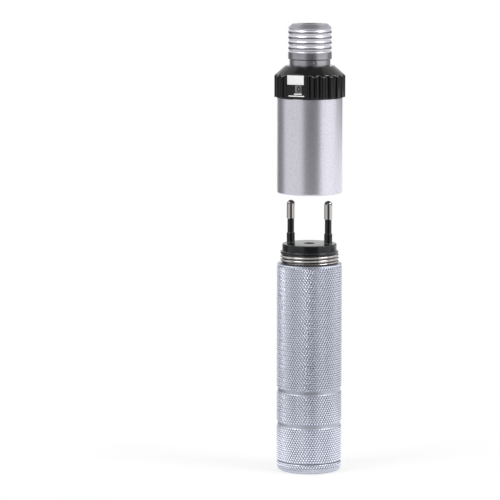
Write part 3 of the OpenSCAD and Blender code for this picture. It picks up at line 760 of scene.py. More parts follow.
def polished_silver(colours, threads):
    """Polished neck with fine turning lines, and painted shade on the ribs' crests, the band and the top's
    slope.
    """
    look = Finish("polished_neck", colours.bright, metallic=1.0, roughness=0.4)
    lines = look.noise((80, 80, 7000), detail=3.0)
    crest = radius_of("coupling_neck")
    ribs = low("coupling_neck") + threads.relief_height + threads.band_height
    slope = high("coupling_neck") - threads.neck_chamfer
    crest_shade_depth = 0.14 * MM
    fade = 0.3 * MM
    band_shade = 0.55
    slope_shade = 0.7
    shade_tone = 0.36
    # painted shade: the ribs' crests, the band and the top's slope are darkened where they would reflect
    # the dark surroundings
    on_crest = look.spread(look.radius(), crest - crest_shade_depth, crest)
    on_ribs = look.spread(look.height(), ribs - 2 * fade, ribs)
    on_band = look.spread(look.height(), ribs - 2 * fade, ribs - fade, band_shade, 0.0)
    on_slope = look.spread(look.height(), slope, slope + fade, 0.0, slope_shade)
    crest_shade = look.combine("MULTIPLY", on_crest, on_ribs)
    plain = look.combine("MAXIMUM", on_band, on_slope)
    painted_shade = look.combine("MAXIMUM", crest_shade, plain)
    look.tint(painted_shade, colours.bright, darker(colours.bright, shade_tone))
    look.gloss(lines, where_low=0.28, where_high=0.36)
    look.relief(lines, depth=0.008 * MM, strength=0.25)
    return look.material


def nickel_plate(colours, threads):
    """Bright nickel plate, unevenly worn, with painted shade in the thread root."""
    crest = radius_of("thread_collar")
    root = crest - threads.collar_depth
    look = Finish("nickel_plate", colours.nickel, metallic=1.0, roughness=0.1)
    wear = look.noise((260, 260, 500), detail=4.0)
    start = 0.9 * root
    share = look.spread(look.radius(), start, crest)
    root_share, crest_share = (root - start) / (crest - start), 0.97
    # painted shade: the thread's root is darker than its crests
    worn, shadow = darker(colours.nickel, 0.8), darker(colours.nickel, 0.22)
    look.ramp(share, [(0.0, worn), (root_share, shadow), (crest_share, colours.nickel)])
    look.gloss(wear, where_low=0.07, where_high=0.14)
    return look.material


def plain_metal(name, base, roughness):
    """Metal of the inner pieces, with the marks of its drawing."""
    look = Finish(name, base, metallic=1.0, roughness=roughness)
    marks = look.noise((900, 900, 5000), detail=3.0)
    look.tint(marks, darker(base, 0.86), base)
    look.gloss(marks, where_low=roughness - 0.06, where_high=roughness + 0.08)
    look.relief(marks, depth=0.006 * MM, strength=0.3)
    return look.material


def moulded_plastic(name, base, roughness, grain_depth, specular):
    """Moulded plastic with a fine spark-eroded grain."""
    look = Finish(name, base, metallic=0.0, roughness=roughness)
    look.shader.inputs["Specular IOR Level"].default_value = specular
    grain = look.noise((4200, 4200, 4200), detail=2.0)
    cloud = look.noise((350, 350, 350), detail=3.0)
    look.tint(cloud, darker(base, 0.82), base)
    look.gloss(grain, where_low=roughness - 0.05, where_high=roughness + 0.07)
    look.relief(grain, depth=grain_depth * MM, strength=0.5)
    return look.material


def printed_film(name, base, roughness):
    """Thin printed film, such as a label: nearly even, with a soft sheen."""
    look = Finish(name, base, metallic=0.0, roughness=roughness)
    cloud = look.noise((900, 900, 900), detail=4.0)
    look.tint(cloud, darker(base, 0.95), base)
    look.gloss(cloud, where_low=roughness - 0.04, where_high=roughness + 0.06)
    look.relief(look.noise((5000, 5000, 5000), detail=2.0), depth=0.004 * MM, strength=0.4)
    return look.material


def seal_rubber(colours):
    """Dull rubber, greyed by its bloom."""
    look = Finish("rubber_seal", colours.rubber, metallic=0.0, roughness=0.62)
    bloom = look.noise((1500, 1500, 1500), detail=4.0)
    look.tint(bloom, darker(colours.rubber, 0.7), colours.rubber)
    look.gloss(bloom, where_low=0.55, where_high=0.7)
    look.relief(bloom, depth=0.02 * MM, strength=0.4)
    return look.material


def board_laminate(colours):
    """Green lacquer over the woven glass of a circuit board."""
    look = Finish("board_laminate", colours.board, metallic=0.0, roughness=0.35, coat_weight=0.4)
    weave = look.node("ShaderNodeTexChecker")
    weave.inputs["Scale"].default_value = 1.0
    look.link(look.place((2500, 2500, 10)), weave, "Vector")
    look.tint(weave.outputs["Fac"], darker(colours.board, 0.8), colours.board)
    look.gloss(look.noise((700, 700, 700)), where_low=0.3, where_high=0.42)
    return look.material


def insulating_card(colours):
    """Pressed card with short fibres."""
    look = Finish("insulating_card", colours.card, metallic=0.0, roughness=0.75)
    fibre = look.noise((3500, 900, 2200), detail=5.0)
    look.tint(fibre, darker(colours.card, 0.7), colours.card)
    look.gloss(fibre, where_low=0.65, where_high=0.85)
    look.relief(fibre, depth=0.03 * MM, strength=0.5)
    return look.material


# Metals and printed films: colour and roughness
METALS = {
    "brass_contact": ("brass", 0.24),
    "plain_steel": ("steel", 0.3),
}
FILMS = {
    "label_white": ("white", 0.45),
    "dial_grey": ("grey", 0.4),
    "dial_black": ("black", 0.4),
}

# Plastics: colour, roughness, depth of the grain in millimetres and specular level
PLASTICS = {
    "ring_plastic": ("black", 0.14, 0.005, 0.32),
    # painted glints: a glossier copy of the black plastic for up-facing rounded edges
    "rubbed_edge": ("black", 0.12, 0.002, 1.0),
    "pin_plastic": ("ink", 0.15, 0.005, 0.45),
    "slate_plastic": ("slate", 0.18, 0.006, 0.4),
    "white_plastic": ("white", 0.4, 0.012, 0.5),
    "capacitor_case": ("red", 0.28, 0.006, 0.5),
    "resistor_lacquer": ("blue", 0.3, 0.008, 0.5),
    "cell_jacket": ("jacket", 0.25, 0.005, 0.5),
}


def all_finishes():
    """Every finish by the name of its material slot, made once."""
    scene = bpy.context.scene
    colours = scene.handle_colours
    made = {
        "knurled_aluminium": knurled_silver(colours, scene.handle_barrel, scene.handle_knurl),
        "turned_aluminium": turned_silver(colours),
        "polished_neck": polished_silver(colours, scene.handle_threads),
        "nickel_plate": nickel_plate(colours, scene.handle_threads),
        "rubber_seal": seal_rubber(colours),
        "board_laminate": board_laminate(colours),
        "insulating_card": insulating_card(colours),
    }
    for make, table in ((plain_metal, METALS), (printed_film, FILMS), (moulded_plastic, PLASTICS)):
        for slot, (colour, *settings) in table.items():
            made[slot] = make(slot, getattr(colours, colour), *settings)
    return made


FINISHES = {}


def finish(slot):
    """The finish of a material slot."""
    if not FINISHES:
        FINISHES.update(all_finishes())
    return FINISHES[slot]


# The handle: barrel, cap, collar, plug and pins


class HANDLE_OT_barrel(bpy.types.Operator):
    """Turn the barrel and roll its knurl"""

    bl_idname = "handle.barrel"
    bl_label = "Barrel"

    def execute(self, context):
        barrel = context.scene.handle_barrel
        knurling = context.scene.handle_knurl
        crest = radius_of("handle_tube")
        valley = crest - knurling.depth
        foot, top = low("handle_tube"), high("handle_tube")
        bore = crest - barrel.wall
        groove_bottom = crest - barrel.groove_depth
        groove_slope = valley - groove_bottom
        half = barrel.groove_width / 2
        zones = []
        outline = [(bore, foot), (valley - barrel.seam, foot), (valley, foot + barrel.seam)]
        start = foot + barrel.seam
        for groove in (foot + barrel.lower_groove, foot + barrel.upper_groove):
            end = groove - half - groove_slope
            outline += knurl_rows(start, end, valley, knurling.row)
            zones.append((start, end))
            outline += [(groove_bottom, groove - half), (groove_bottom, groove + half)]
            start = groove + half + groove_slope
            outline.append((valley, start))
        end = top - barrel.rim
        outline += knurl_rows(start, end, valley, knurling.row)
        zones.append((start, end))
        outline += [
            (crest, end + knurling.depth),
            (crest, top - barrel.edge),
            (crest - barrel.edge, top),
            (bore, top),
            *reversed(knurl_rows(foot, top, bore, knurling.row)[:-1]),
        ]
        piece = turn("barrel", outline, knurling.columns)

        def in_zone(face):
            centre = face.calc_center_median()
            outside = math.hypot(centre.x, centre.y) > (bore + valley) / 2
            return outside and any(start < centre.z < end for start, end in zones)

        knurl(piece, knurling, knurling.flank, in_zone)
        lean_over(piece, knurling, crest)
        shade(piece, degrees=24)
        done(piece, "knurled_aluminium", "handle", "handle_tube")
        return {"FINISHED"}


def knurl_rows(start, end, radius, row):
    """Rings at one radius that divide a zone of knurling into rows."""
    rows = max(1, round((end - start) / row))
    return [(radius, start + (end - start) * i / rows) for i in range(1, rows + 1)]


class HANDLE_OT_end_cap(bpy.types.Operator):
    """Turn the end cap with its threaded stub and roll its knurl"""

    bl_idname = "handle.end_cap"
    bl_label = "End cap"

    def execute(self, context):
        barrel = context.scene.handle_barrel
        knurling = context.scene.handle_knurl
        crest = radius_of("end_cap")
        valley = crest - knurling.depth
        foot, rim, top = low("end_cap"), low("end_cap_seal"), high("end_cap")
        corner = (valley - barrel.cap_edge, foot + barrel.cap_edge)
        stub = crest - barrel.wall - 2 * SEAT_GAP
        knurl_start = -78
        outline = [(corner[0] * 0.5, foot), *arc(corner, barrel.cap_edge, -90, knurl_start, 1)]
        knurl_low = outline[-1][1]
        outline += arc(corner, barrel.cap_edge, knurl_start, 0, 2)[1:]
        knurl_high = rim - barrel.seam
        outline += [(valley, knurl_high), (valley - barrel.seam, rim), (stub, rim)]
        outline += thread_rings(stub, rim, top, barrel.cap_thread_pitch, barrel.cap_thread_depth)
        piece = turn("end_cap_turned", outline, knurling.columns, closed=False)

        def in_zone(face):
            centre = face.calc_center_median()
            outside = math.hypot(centre.x, centre.y) > corner[0] + barrel.cap_edge / 8
            return outside and knurl_low < centre.z < knurl_high

        knurl(piece, knurling, knurling.cap_flank, in_zone)
        lean_over(piece, knurling, crest)
        shade(piece, degrees=24)
        done(piece, "knurled_aluminium", "end_cap", "end_cap")
        return {"FINISHED"}


# Flanks of a hidden thread, as shares of its pitch
THREAD_RISE = (0.14, 0.36)
THREAD_FALL = (0.64, 0.86)


def thread_rings(crest, start, end, pitch, depth):
    """Outline of a short hidden thread, from its shoulder to its end face."""
    rings = [(crest - depth, start)]
    for i in range(int((end - start) / pitch)):
        base = start + i * pitch
        rings += [
            (crest - depth, base + THREAD_RISE[0] * pitch),
            (crest, base + THREAD_RISE[1] * pitch),
            (crest, base + THREAD_FALL[0] * pitch),
            (crest - depth, base + THREAD_FALL[1] * pitch),
        ]
    return rings + [(crest - depth, end)]


class HANDLE_OT_collar(bpy.types.Operator):
    """Turn the plated collar and wind its thread"""

    bl_idname = "handle.collar"
    bl_label = "Thread collar"

    def execute(self, context):
        threads = context.scene.handle_threads
        foot, top = low("thread_collar"), high("thread_collar")
        shoulder = high("handle_tube")
        crest = radius_of("thread_collar")
        root = crest - threads.collar_depth
        spigot = radius_of("handle_tube") - context.scene.handle_barrel.wall - SEAT_GAP
        pitch = threads.collar_pitch
        depth = threads.collar_depth
        ramp_low, ramp_high, lead = 0.18, 0.5, 0.3
        outline = [
            (threads.collar_bore, foot),
            (spigot, foot),
            (spigot, shoulder),
            (root, shoulder),
            (root, shoulder + ramp_low * pitch),
            (crest, shoulder + ramp_high * pitch),
            (crest, top - lead * pitch),
            (root + lead * depth, top),
            (threads.collar_bore, top),
        ]
        piece = turn("collar", outline, threads.sides)
        brim, beyond = 0.02 * MM, 0.4 * MM
        groove = [
            (root, 0.06 * pitch),
            (root + 0.35 * depth, 0.15 * pitch),
            (crest - 0.2 * depth, 0.29 * pitch),
            (crest + brim, 0.42 * pitch),
            (crest + beyond, 0.5 * pitch),
        ]
        start_height, start_angle = shoulder - 0.6 * pitch, math.radians(120)
        cut(piece, wind("collar_groove", groove, pitch, 4, start_height, start_angle))
        shade(piece, degrees=50)
        done(piece, "nickel_plate", "handle", "thread_collar")
        return {"FINISHED"}


class HANDLE_OT_plug(bpy.types.Operator):
    """Mould the charging plug's body"""

    bl_idname = "handle.plug"
    bl_label = "Charging plug"

    def execute(self, context):
        plug = context.scene.handle_plug
        threads = context.scene.handle_threads
        flange_low, face, skirt_low = high("thread_collar"), high("plug_insert"), low("plug_insert")
        flange = radius_of("plug_insert")
        body = flange - plug.step
        skirt = threads.collar_bore - plug.skirt_gap
        contact_height = 1.5 * MM
        contact_low = high("centre_contact") - contact_height
        stem = 1.05 * MM
        step_height = flange_low + plug.flange_height
        lip = 0.3 * MM
        outline = [
            (stem, flange_low),
            (skirt - plug.skirt_wall, flange_low),
            (skirt - plug.skirt_wall, skirt_low),
            (skirt, skirt_low),
            (skirt, flange_low),
            *arc((flange - lip, flange_low + lip), lip, -90, 0, 3),
            *arc((flange - lip, step_height - lip), lip, 0, 90, 3),
            *arc((body + lip, step_height + lip), lip, 270, 180, 3),
            *arc((body - plug.rim, face - plug.rim), plug.rim, 0, 90, 6),
            (plug.recess_radius + lip / 2, face),
            (plug.recess_radius, face - lip / 2),
            (plug.recess_radius, contact_low),
            (stem, contact_low),
        ]
        piece = turn("plug_body", outline, threads.sides)
        board = high("charger_board")
        across = plug.boss_place
        pin_hole = plug.shank_radius + plug.skirt_gap
        screw_hole = 0.8 * MM
        bosses = twin_rods("bosses", plug.boss_radius, board, flange_low + lip, BOSS_SIDES, y=across)
        cut(piece, bosses, "UNION")
        holes = twin_rods("pin_holes", pin_hole, flange_low - MM, face + MM, BOSS_SIDES, x=pin_place())
        cut(piece, holes)
        holes = twin_rods("screw_holes", screw_hole, board - MM, flange_low - MM, HOLE_SIDES, y=across)
        cut(piece, holes)
        shade(piece, degrees=32)
        done(piece, "slate_plastic", "handle", "plug_insert")
        # painted glints on the plug's sloping edges below its step
        glint_edges(piece, GLINT_TO["plug"], lambda place: place.z > step_height)
        return {"FINISHED"}


def pin_place():
    """Distance of a charging pin from the handle's axis."""
    return middle_of("mains_pin_right").x


def pair(piece, names, place):
    """Copies a turned piece, and sets the two on either side of the axis."""
    pick(piece)
    bpy.ops.object.duplicate()
    pieces = [piece, bpy.context.object]
    for item, name, side in zip(pieces, names, (-1, 1)):
        pick(item)
        bpy.ops.transform.translate(value=(side * place, 0, 0))
        added(name)
    return pieces


class HANDLE_OT_pins(bpy.types.Operator):
    """Turn the two charging pins and their insulation"""

    bl_idname = "handle.pins"
    bl_label = "Charging pins"

    def execute(self, context):
        plug = context.scene.handle_plug
        tail, tip = low("mains_pin_right"), high("mains_pin_right")
        flange_low, face = high("thread_collar"), high("plug_insert")
        bare = tip - plug.tip_length
        tip_radius = plug.pin_radius
        outline = [
            (plug.tail_radius, tail),
            (plug.tail_radius, flange_low),
            (plug.shank_radius, flange_low),
            (plug.shank_radius, bare),
            (tip_radius - plug.tip_waist, bare),
            (tip_radius, bare + plug.tip_waist),
            *arc((0, tip - tip_radius), tip_radius, 0, 86, 10),
        ]
        pin = turn("pin_left", outline, PIN_SIDES, closed=False)
        shade(pin, degrees=30)
        sides = ("left", "right")
        for piece, side in zip(pair(pin, [f"pin_{side}" for side in sides], pin_place()), sides):
            done(piece, "nickel_plate", "handle", f"mains_pin_{side}")
        bore = plug.shank_radius + plug.skirt_gap
        foot = face + plug.foot_height
        bead = 0.3 * MM
        outline = [
            (bore, face),
            (tip_radius + bead, face),
            *arc((tip_radius + bead, face + 1.4 * bead), bead, 270, 180, 4)[1:],
            *arc((tip_radius - bead, foot - bead), bead, 0, 90, 4),
            (plug.sleeve_radius, foot),
            (plug.sleeve_radius, bare - bead / 2),
            (plug.sleeve_radius - bead / 2, bare),
            (bore, bare),
        ]
        insulation = turn("pin_insulation_left", outline, PIN_SIDES)
        shade(insulation, degrees=40)
        names = [f"pin_insulation_{side}" for side in sides]
        for piece, side in zip(pair(insulation, names, pin_place()), sides):
            done(piece, "pin_plastic", "handle", f"pin_sleeve_{side}")
            # painted glints on the insulation's step and foot
            glint_edges(piece, GLINT_TO["pins"])
        return {"FINISHED"}


# The control section: sleeve, neck, dimmer ring and dial


class HANDLE_OT_sleeve(bpy.types.Operator):
    """Turn the upper sleeve and wind the thread in its mouth"""

    bl_idname = "handle.sleeve"
    bl_label = "Upper sleeve"

    def execute(self, context):
        threads = context.scene.handle_threads
        foot, top = low("upper_sleeve"), high("upper_sleeve")
        outer = radius_of("upper_sleeve")
        bore = threads.sleeve_bore
        edge = threads.sleeve_edge
        chamfer = 0.25 * MM
        outline = [
            (bore, foot + chamfer),
            (bore + chamfer, foot),
            *arc((outer - edge, foot + edge), edge, -90, 0, 6),
            (outer, top - chamfer),
            (outer - chamfer, top),
            (bore, top),
        ]
        piece = turn("sleeve", outline, threads.sides)
        pitch = threads.collar_pitch
        groove = [
            (bore - 2 * chamfer, 0.46 * pitch),
            (bore, 0.36 * pitch),
            (bore + 0.5 * threads.collar_depth, 0.2 * pitch),
            (bore + threads.collar_depth, 0.06 * pitch),
        ]
        start_height, start_angle = foot - 0.5 * pitch, 0.0
        cut(piece, wind("sleeve_groove", groove, pitch, 3, start_height, start_angle))
        shade(piece, degrees=40)
        done(piece, "turned_aluminium", "control_head", "upper_sleeve")
        return {"FINISHED"}


def rounded_groove(below, middle, above, crest, depth, steps=8, fullness=1.75):
    """Outline of a groove between two rounded crests, from the lower crest to the upper one."""
    falls = [depth * (i / steps) ** fullness for i in range(steps + 1)]
    lower = [(crest - fall, below + (middle - below) * i / steps) for i, fall in enumerate(falls)]
    upper = [(crest - fall, above + (middle - above) * i / steps) for i, fall in enumerate(falls[:-1])]
    return lower + upper[::-1]


class HANDLE_OT_neck(bpy.types.Operator):
    """Turn the ribbed neck with the head socket"""

    bl_idname = "handle.neck"
    bl_label = "Coupling neck"

    def execute(self, context):
        threads = context.scene.handle_threads
        foot, top = low("coupling_neck"), high("coupling_neck")
        crest = radius_of("coupling_neck")
        relief = threads.relief_radius
        band = foot + threads.relief_height
        chamfer = 0.15 * MM
        first = band + threads.band_height
        pitch = threads.neck_pitch
        shoulder = top - threads.neck_chamfer
        outline = [
            (threads.stub_radius, foot),
            (relief - chamfer, foot),
            (relief, foot + chamfer),
            (relief, band - 2 * chamfer),
            (relief - 2 * chamfer, band),
            (crest - chamfer, band),
            (crest, band + chamfer),
        ]
        for i in range(threads.neck_grooves):
            middle = first + i * pitch
            below = middle - pitch / 2 if i else first - threads.band_edge
            above = min(middle + pitch / 2, shoulder)
            points = rounded_groove(below, middle, above, crest, threads.neck_depth)
            outline += points[1:] if i else points
        mouth = 0.5 * MM
        socket_floor = top - threads.socket_depth
        outline += [
            (crest - threads.neck_chamfer, top),
            (threads.socket_radius + mouth, top),
            (threads.socket_radius, top - mouth),
            (threads.socket_radius, socket_floor),
            (threads.plunger_hole, socket_floor),
            (threads.plunger_hole, socket_floor - threads.stub_end),
            (threads.stub_radius, socket_floor - threads.stub_end),
        ]
        piece = turn("neck", outline, threads.sides)
        screw = middle_of("neck_set_screw")
        deselect()
        bpy.ops.mesh.primitive_cylinder_add(
            vertices=HOLE_SIDES,
            radius=threads.screw_hole,
            depth=relief / 2,
            location=screw,
            rotation=(0, math.pi / 2, math.atan2(screw.y, screw.x)),
        )
        cut(piece, added("screw_hole"))
        shade(piece, degrees=40)
        done(piece, "polished_neck", "control_head", "coupling_neck")
        return {"FINISHED"}


def in_order(cursor, place):
    """Sorts the selected points, edges and faces by their distance from a place off every symmetry."""
    cursor.location = place
    bpy.ops.mesh.sort_elements(type="CURSOR_DISTANCE", elements={"VERT", "EDGE", "FACE"})
    cursor.location = (0, 0, 0)


class HANDLE_OT_ring(bpy.types.Operator):
    """Mould the dimmer ring with its flutes and its flat panel"""

    bl_idname = "handle.ring"
    bl_label = "Dimmer ring"

    def execute(self, context):
        ring = context.scene.handle_ring
        foot, top = low("dimmer_ring"), high("dimmer_ring")
        outer = radius_of("dimmer_ring")
        wall_top = foot + ring.wall_height
        ceiling = wall_top - ring.roof
        outline = [
            (ring.cavity, foot),
            (outer, foot),
            (outer, wall_top),
            (ring.cone_top, top),
            (ring.bore, top),
            (ring.bore, ceiling),
            (ring.cavity, ceiling),
        ]
        piece = turn("ring", outline, DIVISION_SIDES * ring.divisions)
        edit(piece)
        swing(ring.panel_angle)
        close()
        reach = outer + ring.flute_radius - ring.flute_depth
        flutes = []
        for i in range(1, ring.divisions - 1):
            turned = ring.panel_angle + 2 * math.pi / ring.divisions * (i + 0.5)
            x, y = reach * math.cos(turned), reach * math.sin(turned)
            flutes.append(rod("flute", ring.flute_radius, foot - MM, top + MM, FLUTE_SIDES, x, y))
        cut(piece, joined("flutes", flutes))
        deselect()
        size = 2 * outer
        out = outer - ring.panel_depth + size / 2
        place = (out * math.cos(ring.panel_angle), out * math.sin(ring.panel_angle), (foot + top) / 2)
        bpy.ops.mesh.primitive_cube_add(size=size, location=place, rotation=(0, 0, ring.panel_angle))
        cut(piece, added("panel"))
        rivet = middle_of("wiper_rivet")
        hole_top = ceiling + ring.rivet_depth
        cut(piece, rod("rivet_hole", ring.rivet_hole, ceiling - MM, hole_top, HOLE_SIDES, rivet.x, rivet.y))
        sort_place = (40 * MM, 23 * MM, top + 30 * MM)
        sliver = 0.04 * MM
        nearly_flat = math.radians(0.5)
        edit(piece)
        in_order(context.scene.cursor, sort_place)
        bpy.ops.mesh.remove_doubles(threshold=sliver)
        bpy.ops.mesh.dissolve_limited(angle_limit=nearly_flat)
        close()
        soften(piece, ring.edge, segments=3, degrees=28, clamp=False)
        shade(piece, degrees=40)
        done(piece, "ring_plastic", "dimmer", "dimmer_ring")
        # painted glints on the flutes' rounded tops, away from the panel
        panel_way = Vector((math.cos(ring.panel_angle), math.sin(ring.panel_angle)))
        panel_share = 0.95
        glint_edges(piece, GLINT_TO["ring"], lambda place: place.xy.normalized().dot(panel_way) > panel_share)
        return {"FINISHED"}


def on_panel(piece, across, up, out):
    """Stands a flat piece on the ring's panel: across to the right, up, and out from the panel."""
    ring = bpy.context.scene.handle_ring
    outward = Vector((math.cos(ring.panel_angle), math.sin(ring.panel_angle), 0))
    right = Vector((-outward.y, outward.x, 0))
    panel = radius_of("dimmer_ring") - ring.panel_depth
    place = outward * (panel + out) + right * across + Vector((0, 0, low("dimmer_ring") + up))
    turned = Matrix((right, (0, 0, 1), outward)).transposed().to_4x4()
    pick(piece)
    piece.matrix_world = Matrix.Translation(place) @ turned
    return added(piece.name)


def plate(name, width, height, thickness, corner):
    """A thin plate with rounded corners, flat on its back."""
    deselect()
    bpy.ops.mesh.primitive_plane_add(size=1)
    bpy.context.object.scale = (width, height, 1)
    piece = added(name)
    edit(piece)
    bpy.ops.mesh.bevel(offset=corner, segments=3, affect="VERTICES")
    close()
    apply_modifier(piece, "SOLIDIFY", thickness=thickness, offset=1.0)
    soften(piece, thickness / 5, segments=2, degrees=40)
    shade(piece, degrees=40)
    return piece


def round_figure(name, width, height, stroke, thickness):
    """A tall round figure for the dial: a stretched circle with its middle taken out."""
    deselect()
    bpy.ops.mesh.primitive_circle_add(
        vertices=FIGURE_SIDES,
        radius=width / 2,
        fill_type="NGON",
        rotation=(0, 0, math.pi / FIGURE_SIDES),
    )
    piece = added(name)
    edit(piece, "DESELECT")
    for side in (-1, 1):
        select_points(piece, lambda point: point.y * side > 0)
        bpy.ops.transform.translate(value=(0, side * (height - width) / 2, 0))
    hollow(piece, stroke)
    apply_modifier(piece, "SOLIDIFY", thickness=thickness, offset=1.0)
    shade(piece, degrees=40)
    return piece


class HANDLE_OT_dial(bpy.types.Operator):
    """Set the blank label, the dial plate, its figure and its bars on the panel"""

    bl_idname = "handle.dial"
    bl_label = "Dial"

    def execute(self, context):
        ring = context.scene.handle_ring
        thick = ring.plate_thickness
        dial_middle = ring.dial_low + ring.dial_height / 2
        label_middle = ring.dial_low + ring.dial_height + ring.dial_gap + ring.label_height / 2
        label = plate("label", ring.label_width, ring.label_height, thick, ring.corner)
        on_panel(label, ring.label_shift, label_middle, 0)
        done(label, "label_white", "dimmer", "label_plate")
        dial = plate("dial", ring.dial_width, ring.dial_height, thick, ring.corner)
        on_panel(dial, ring.dial_shift, dial_middle, 0)
        done(dial, "dial_grey", "dimmer", "dial_plate")
        sizes = (ring.figure_width, ring.figure_height, ring.figure_stroke, ring.figure_thickness)
        figure = round_figure("figure", *sizes)
        on_panel(figure, ring.dial_shift + ring.figure_shift, dial_middle, thick)
        done(figure, "dial_black", "dimmer", "dial_figure")
        bars = []
        widths = ((ring.short_bar, ring.short_shift), (ring.long_bar, ring.long_shift))
        for i, (width, shift) in enumerate(widths):
            bar = plate(f"bar_{i}", width, ring.bar_height, thick, ring.corner)
            up = ring.dial_low - (i + 1) * (ring.bar_height + ring.bar_gap) + ring.bar_height / 2
            bars.append(on_panel(bar, shift, up, 0))
        done(joined("bars", bars), "label_white", "dimmer", "dial_bars")
        return {"FINISHED"}


# Inner pieces keep their CAD shape and get a finish

INNER_PIECES = {
    "plain_steel": (
        "insert_screws",
        "battery_spring",
        "neck_set_screw",
        "post_screws",
    ),
    "brass_contact": (
        "centre_contact",
        "spring_seat",
        "track_rivets",
        "feed_rod",
        "wiper_arm",
        "wiper_rivet",
        "head_plunger",
        "link_contact",
    ),
    "turned_aluminium": ("switch_core",),
    "nickel_plate": ("cell_link_strip",),
    "rubber_seal": ("end_cap_seal",),
    "white_plastic": ("neck_bush", "contact_post"),
    "pin_plastic": ("rectifier_diodes", "resistor_track"),
    "board_laminate": ("charger_board",),
    "capacitor_case": ("dropper_capacitor",),
    "resistor_lacquer": ("bleed_resistor",),
    "insulating_card": ("cell_insulator", "battery_liner", "rheostat_base"),
    "cell_jacket": ("battery_cell_upper", "battery_cell_lower"),
}


class HANDLE_OT_inner_pieces(bpy.types.Operator):
    """Finish the pieces inside the handle and the control section"""

    bl_idname = "handle.inner_pieces"
    bl_label = "Inner pieces"

    def execute(self, context):
        for slot, nodes in INNER_PIECES.items():
            for node in nodes:
                coat(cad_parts[node], slot)
        return {"FINISHED"}


# Springs under the contacts: CAD node, body, joint that presses it, its travel, and the end that stays
SPRINGS = {
    "plunger_coil": ("plunger_spring", "control_head", "plunger_press", "plunger_travel", low),
    "link_coil": ("link_spring", "lift_core", "link_press", "link_travel", high),
}


def copy_of(node, name):
    """A piece with a merged copy of a CAD node's mesh."""
    piece = bpy.data.objects.new(name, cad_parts[node].data.copy())
    bpy.context.scene.collection.objects.link(piece)
    edit(piece)
    bpy.ops.mesh.remove_doubles(threshold=SAME_POINT / 2)
    outwards()
    return piece


class HANDLE_OT_springs(bpy.types.Operator):
    """Make the two contact springs as copies of their CAD nodes"""

    bl_idname = "handle.springs"
    bl_label = "Contact springs"

    def execute(self, context):
        threads = context.scene.handle_threads
        for name, (node, body, joint, travel, fixed_end) in SPRINGS.items():
            anchor = (0, 0, fixed_end(node))
            keep = 1 - getattr(threads, travel) / (high(node) - low(node))
            piece = copy_of(node, name)
            shade(piece, degrees=40)
            done(piece, "plain_steel", body, node)
            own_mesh(piece)
        return {"FINISHED"}


# The studio: floor, soft light, cards that the metal reflects, and the camera


def direction(azimuth, elevation=0.0):
    """Unit vector from the handle towards an azimuth, where 0 is straight in front."""
    flat = math.cos(elevation)
    return Vector((math.sin(azimuth) * flat, -math.cos(azimuth) * flat, math.sin(elevation)))


def seen_directly(tree):
    """A value of 1 for camera, glossy and transmission rays, and 0 for the others."""
    path = tree.nodes.new("ShaderNodeLightPath")
    value = path.outputs["Is Camera Ray"]
    for name in ("Is Glossy Ray", "Is Transmission Ray"):
        greater = tree.nodes.new("ShaderNodeMath")
        greater.operation = "MAXIMUM"
        tree.links.new(value, greater.inputs[0])
        tree.links.new(path.outputs[name], greater.inputs[1])
        value = greater.outputs["Value"]
    return value


def bare_tree(owner):
    """The node tree of a world or a material, with nothing in it."""
    owner.use_nodes = True
    owner.node_tree.nodes.clear()
    return owner.node_tree


def studio_world(ambient):
    """An even soft light, with a white background where it is seen directly."""
    world = bpy.data.worlds.new("studio")
    bpy.context.scene.world = world
    tree = bare_tree(world)
    mix = tree.nodes.new("ShaderNodeMixShader")
    tree.links.new(seen_directly(tree), mix.inputs["Fac"])
    for slot, strength in ((1, ambient), (2, 1.0)):
        background = tree.nodes.new("ShaderNodeBackground")
        background.inputs["Strength"].default_value = strength
        background.inputs["Color"].default_value = (1, 1, 1, 1)
        tree.links.new(background.outputs["Background"], mix.inputs[slot])
    output = tree.nodes.new("ShaderNodeOutputWorld")
    tree.links.new(mix.outputs["Shader"], output.inputs["Surface"])


def floor_finish(tone, glow):
    """A pale floor that takes the handle's shadow and is white where it is seen."""
    material = bpy.data.materials.new("floor")
    tree = bare_tree(material)
    diffuse = tree.nodes.new("ShaderNodeBsdfDiffuse")
    diffuse.inputs["Color"].default_value = (tone, tone, tone, 1)
    emission = tree.nodes.new("ShaderNodeEmission")
    strength = tree.nodes.new("ShaderNodeMath")
    strength.operation = "MULTIPLY"
    strength.inputs[1].default_value = glow
    tree.links.new(seen_directly(tree), strength.inputs[0])
    tree.links.new(strength.outputs["Value"], emission.inputs["Strength"])
    add = tree.nodes.new("ShaderNodeAddShader")
    tree.links.new(diffuse.outputs["BSDF"], add.inputs[0])
    tree.links.new(emission.outputs["Emission"], add.inputs[1])
    output = tree.nodes.new("ShaderNodeOutputMaterial")
    tree.links.new(add.outputs["Shader"], output.inputs["Surface"])
    return material


def grey_card(piece, tone):
    """Makes a piece a card of one grey that only reflections show."""
    material = bpy.data.materials.new(piece.name)
    tree = bare_tree(material)
    emission = tree.nodes.new("ShaderNodeEmission")
    emission.inputs["Color"].default_value = (tone, tone, tone, 1)
    output = tree.nodes.new("ShaderNodeOutputMaterial")
    tree.links.new(emission.outputs["Emission"], output.inputs["Surface"])
    piece.data.materials.append(material)
    piece.visible_camera = False
    piece.visible_diffuse = False
    piece.visible_shadow = False
    piece.visible_transmission = False


def upright_card(name, azimuth, half_angle, bottom, top, tone, reach):
    """An upright card that faces the handle."""
    deselect()
    place = direction(azimuth) * reach + Vector((0, 0, (bottom + top) / 2))
    bpy.ops.mesh.primitive_plane_add(size=1, location=place, rotation=(math.pi / 2, 0, azimuth))
    bpy.context.object.scale = (2 * reach * math.tan(half_angle), top - bottom, 1)
    grey_card(added(name), tone)


def level_card(name, radius, height, tone, hole=0.0):
    """A round card that lies level, with a round hole in its middle if one is wanted."""
    deselect()
    place = (0, 0, height)
    bpy.ops.mesh.primitive_circle_add(vertices=CARD_SIDES, radius=radius, fill_type="NGON", location=place)
    piece = added(name)
    if hole:
        hollow(piece, radius - hole)
    grey_card(piece, tone)


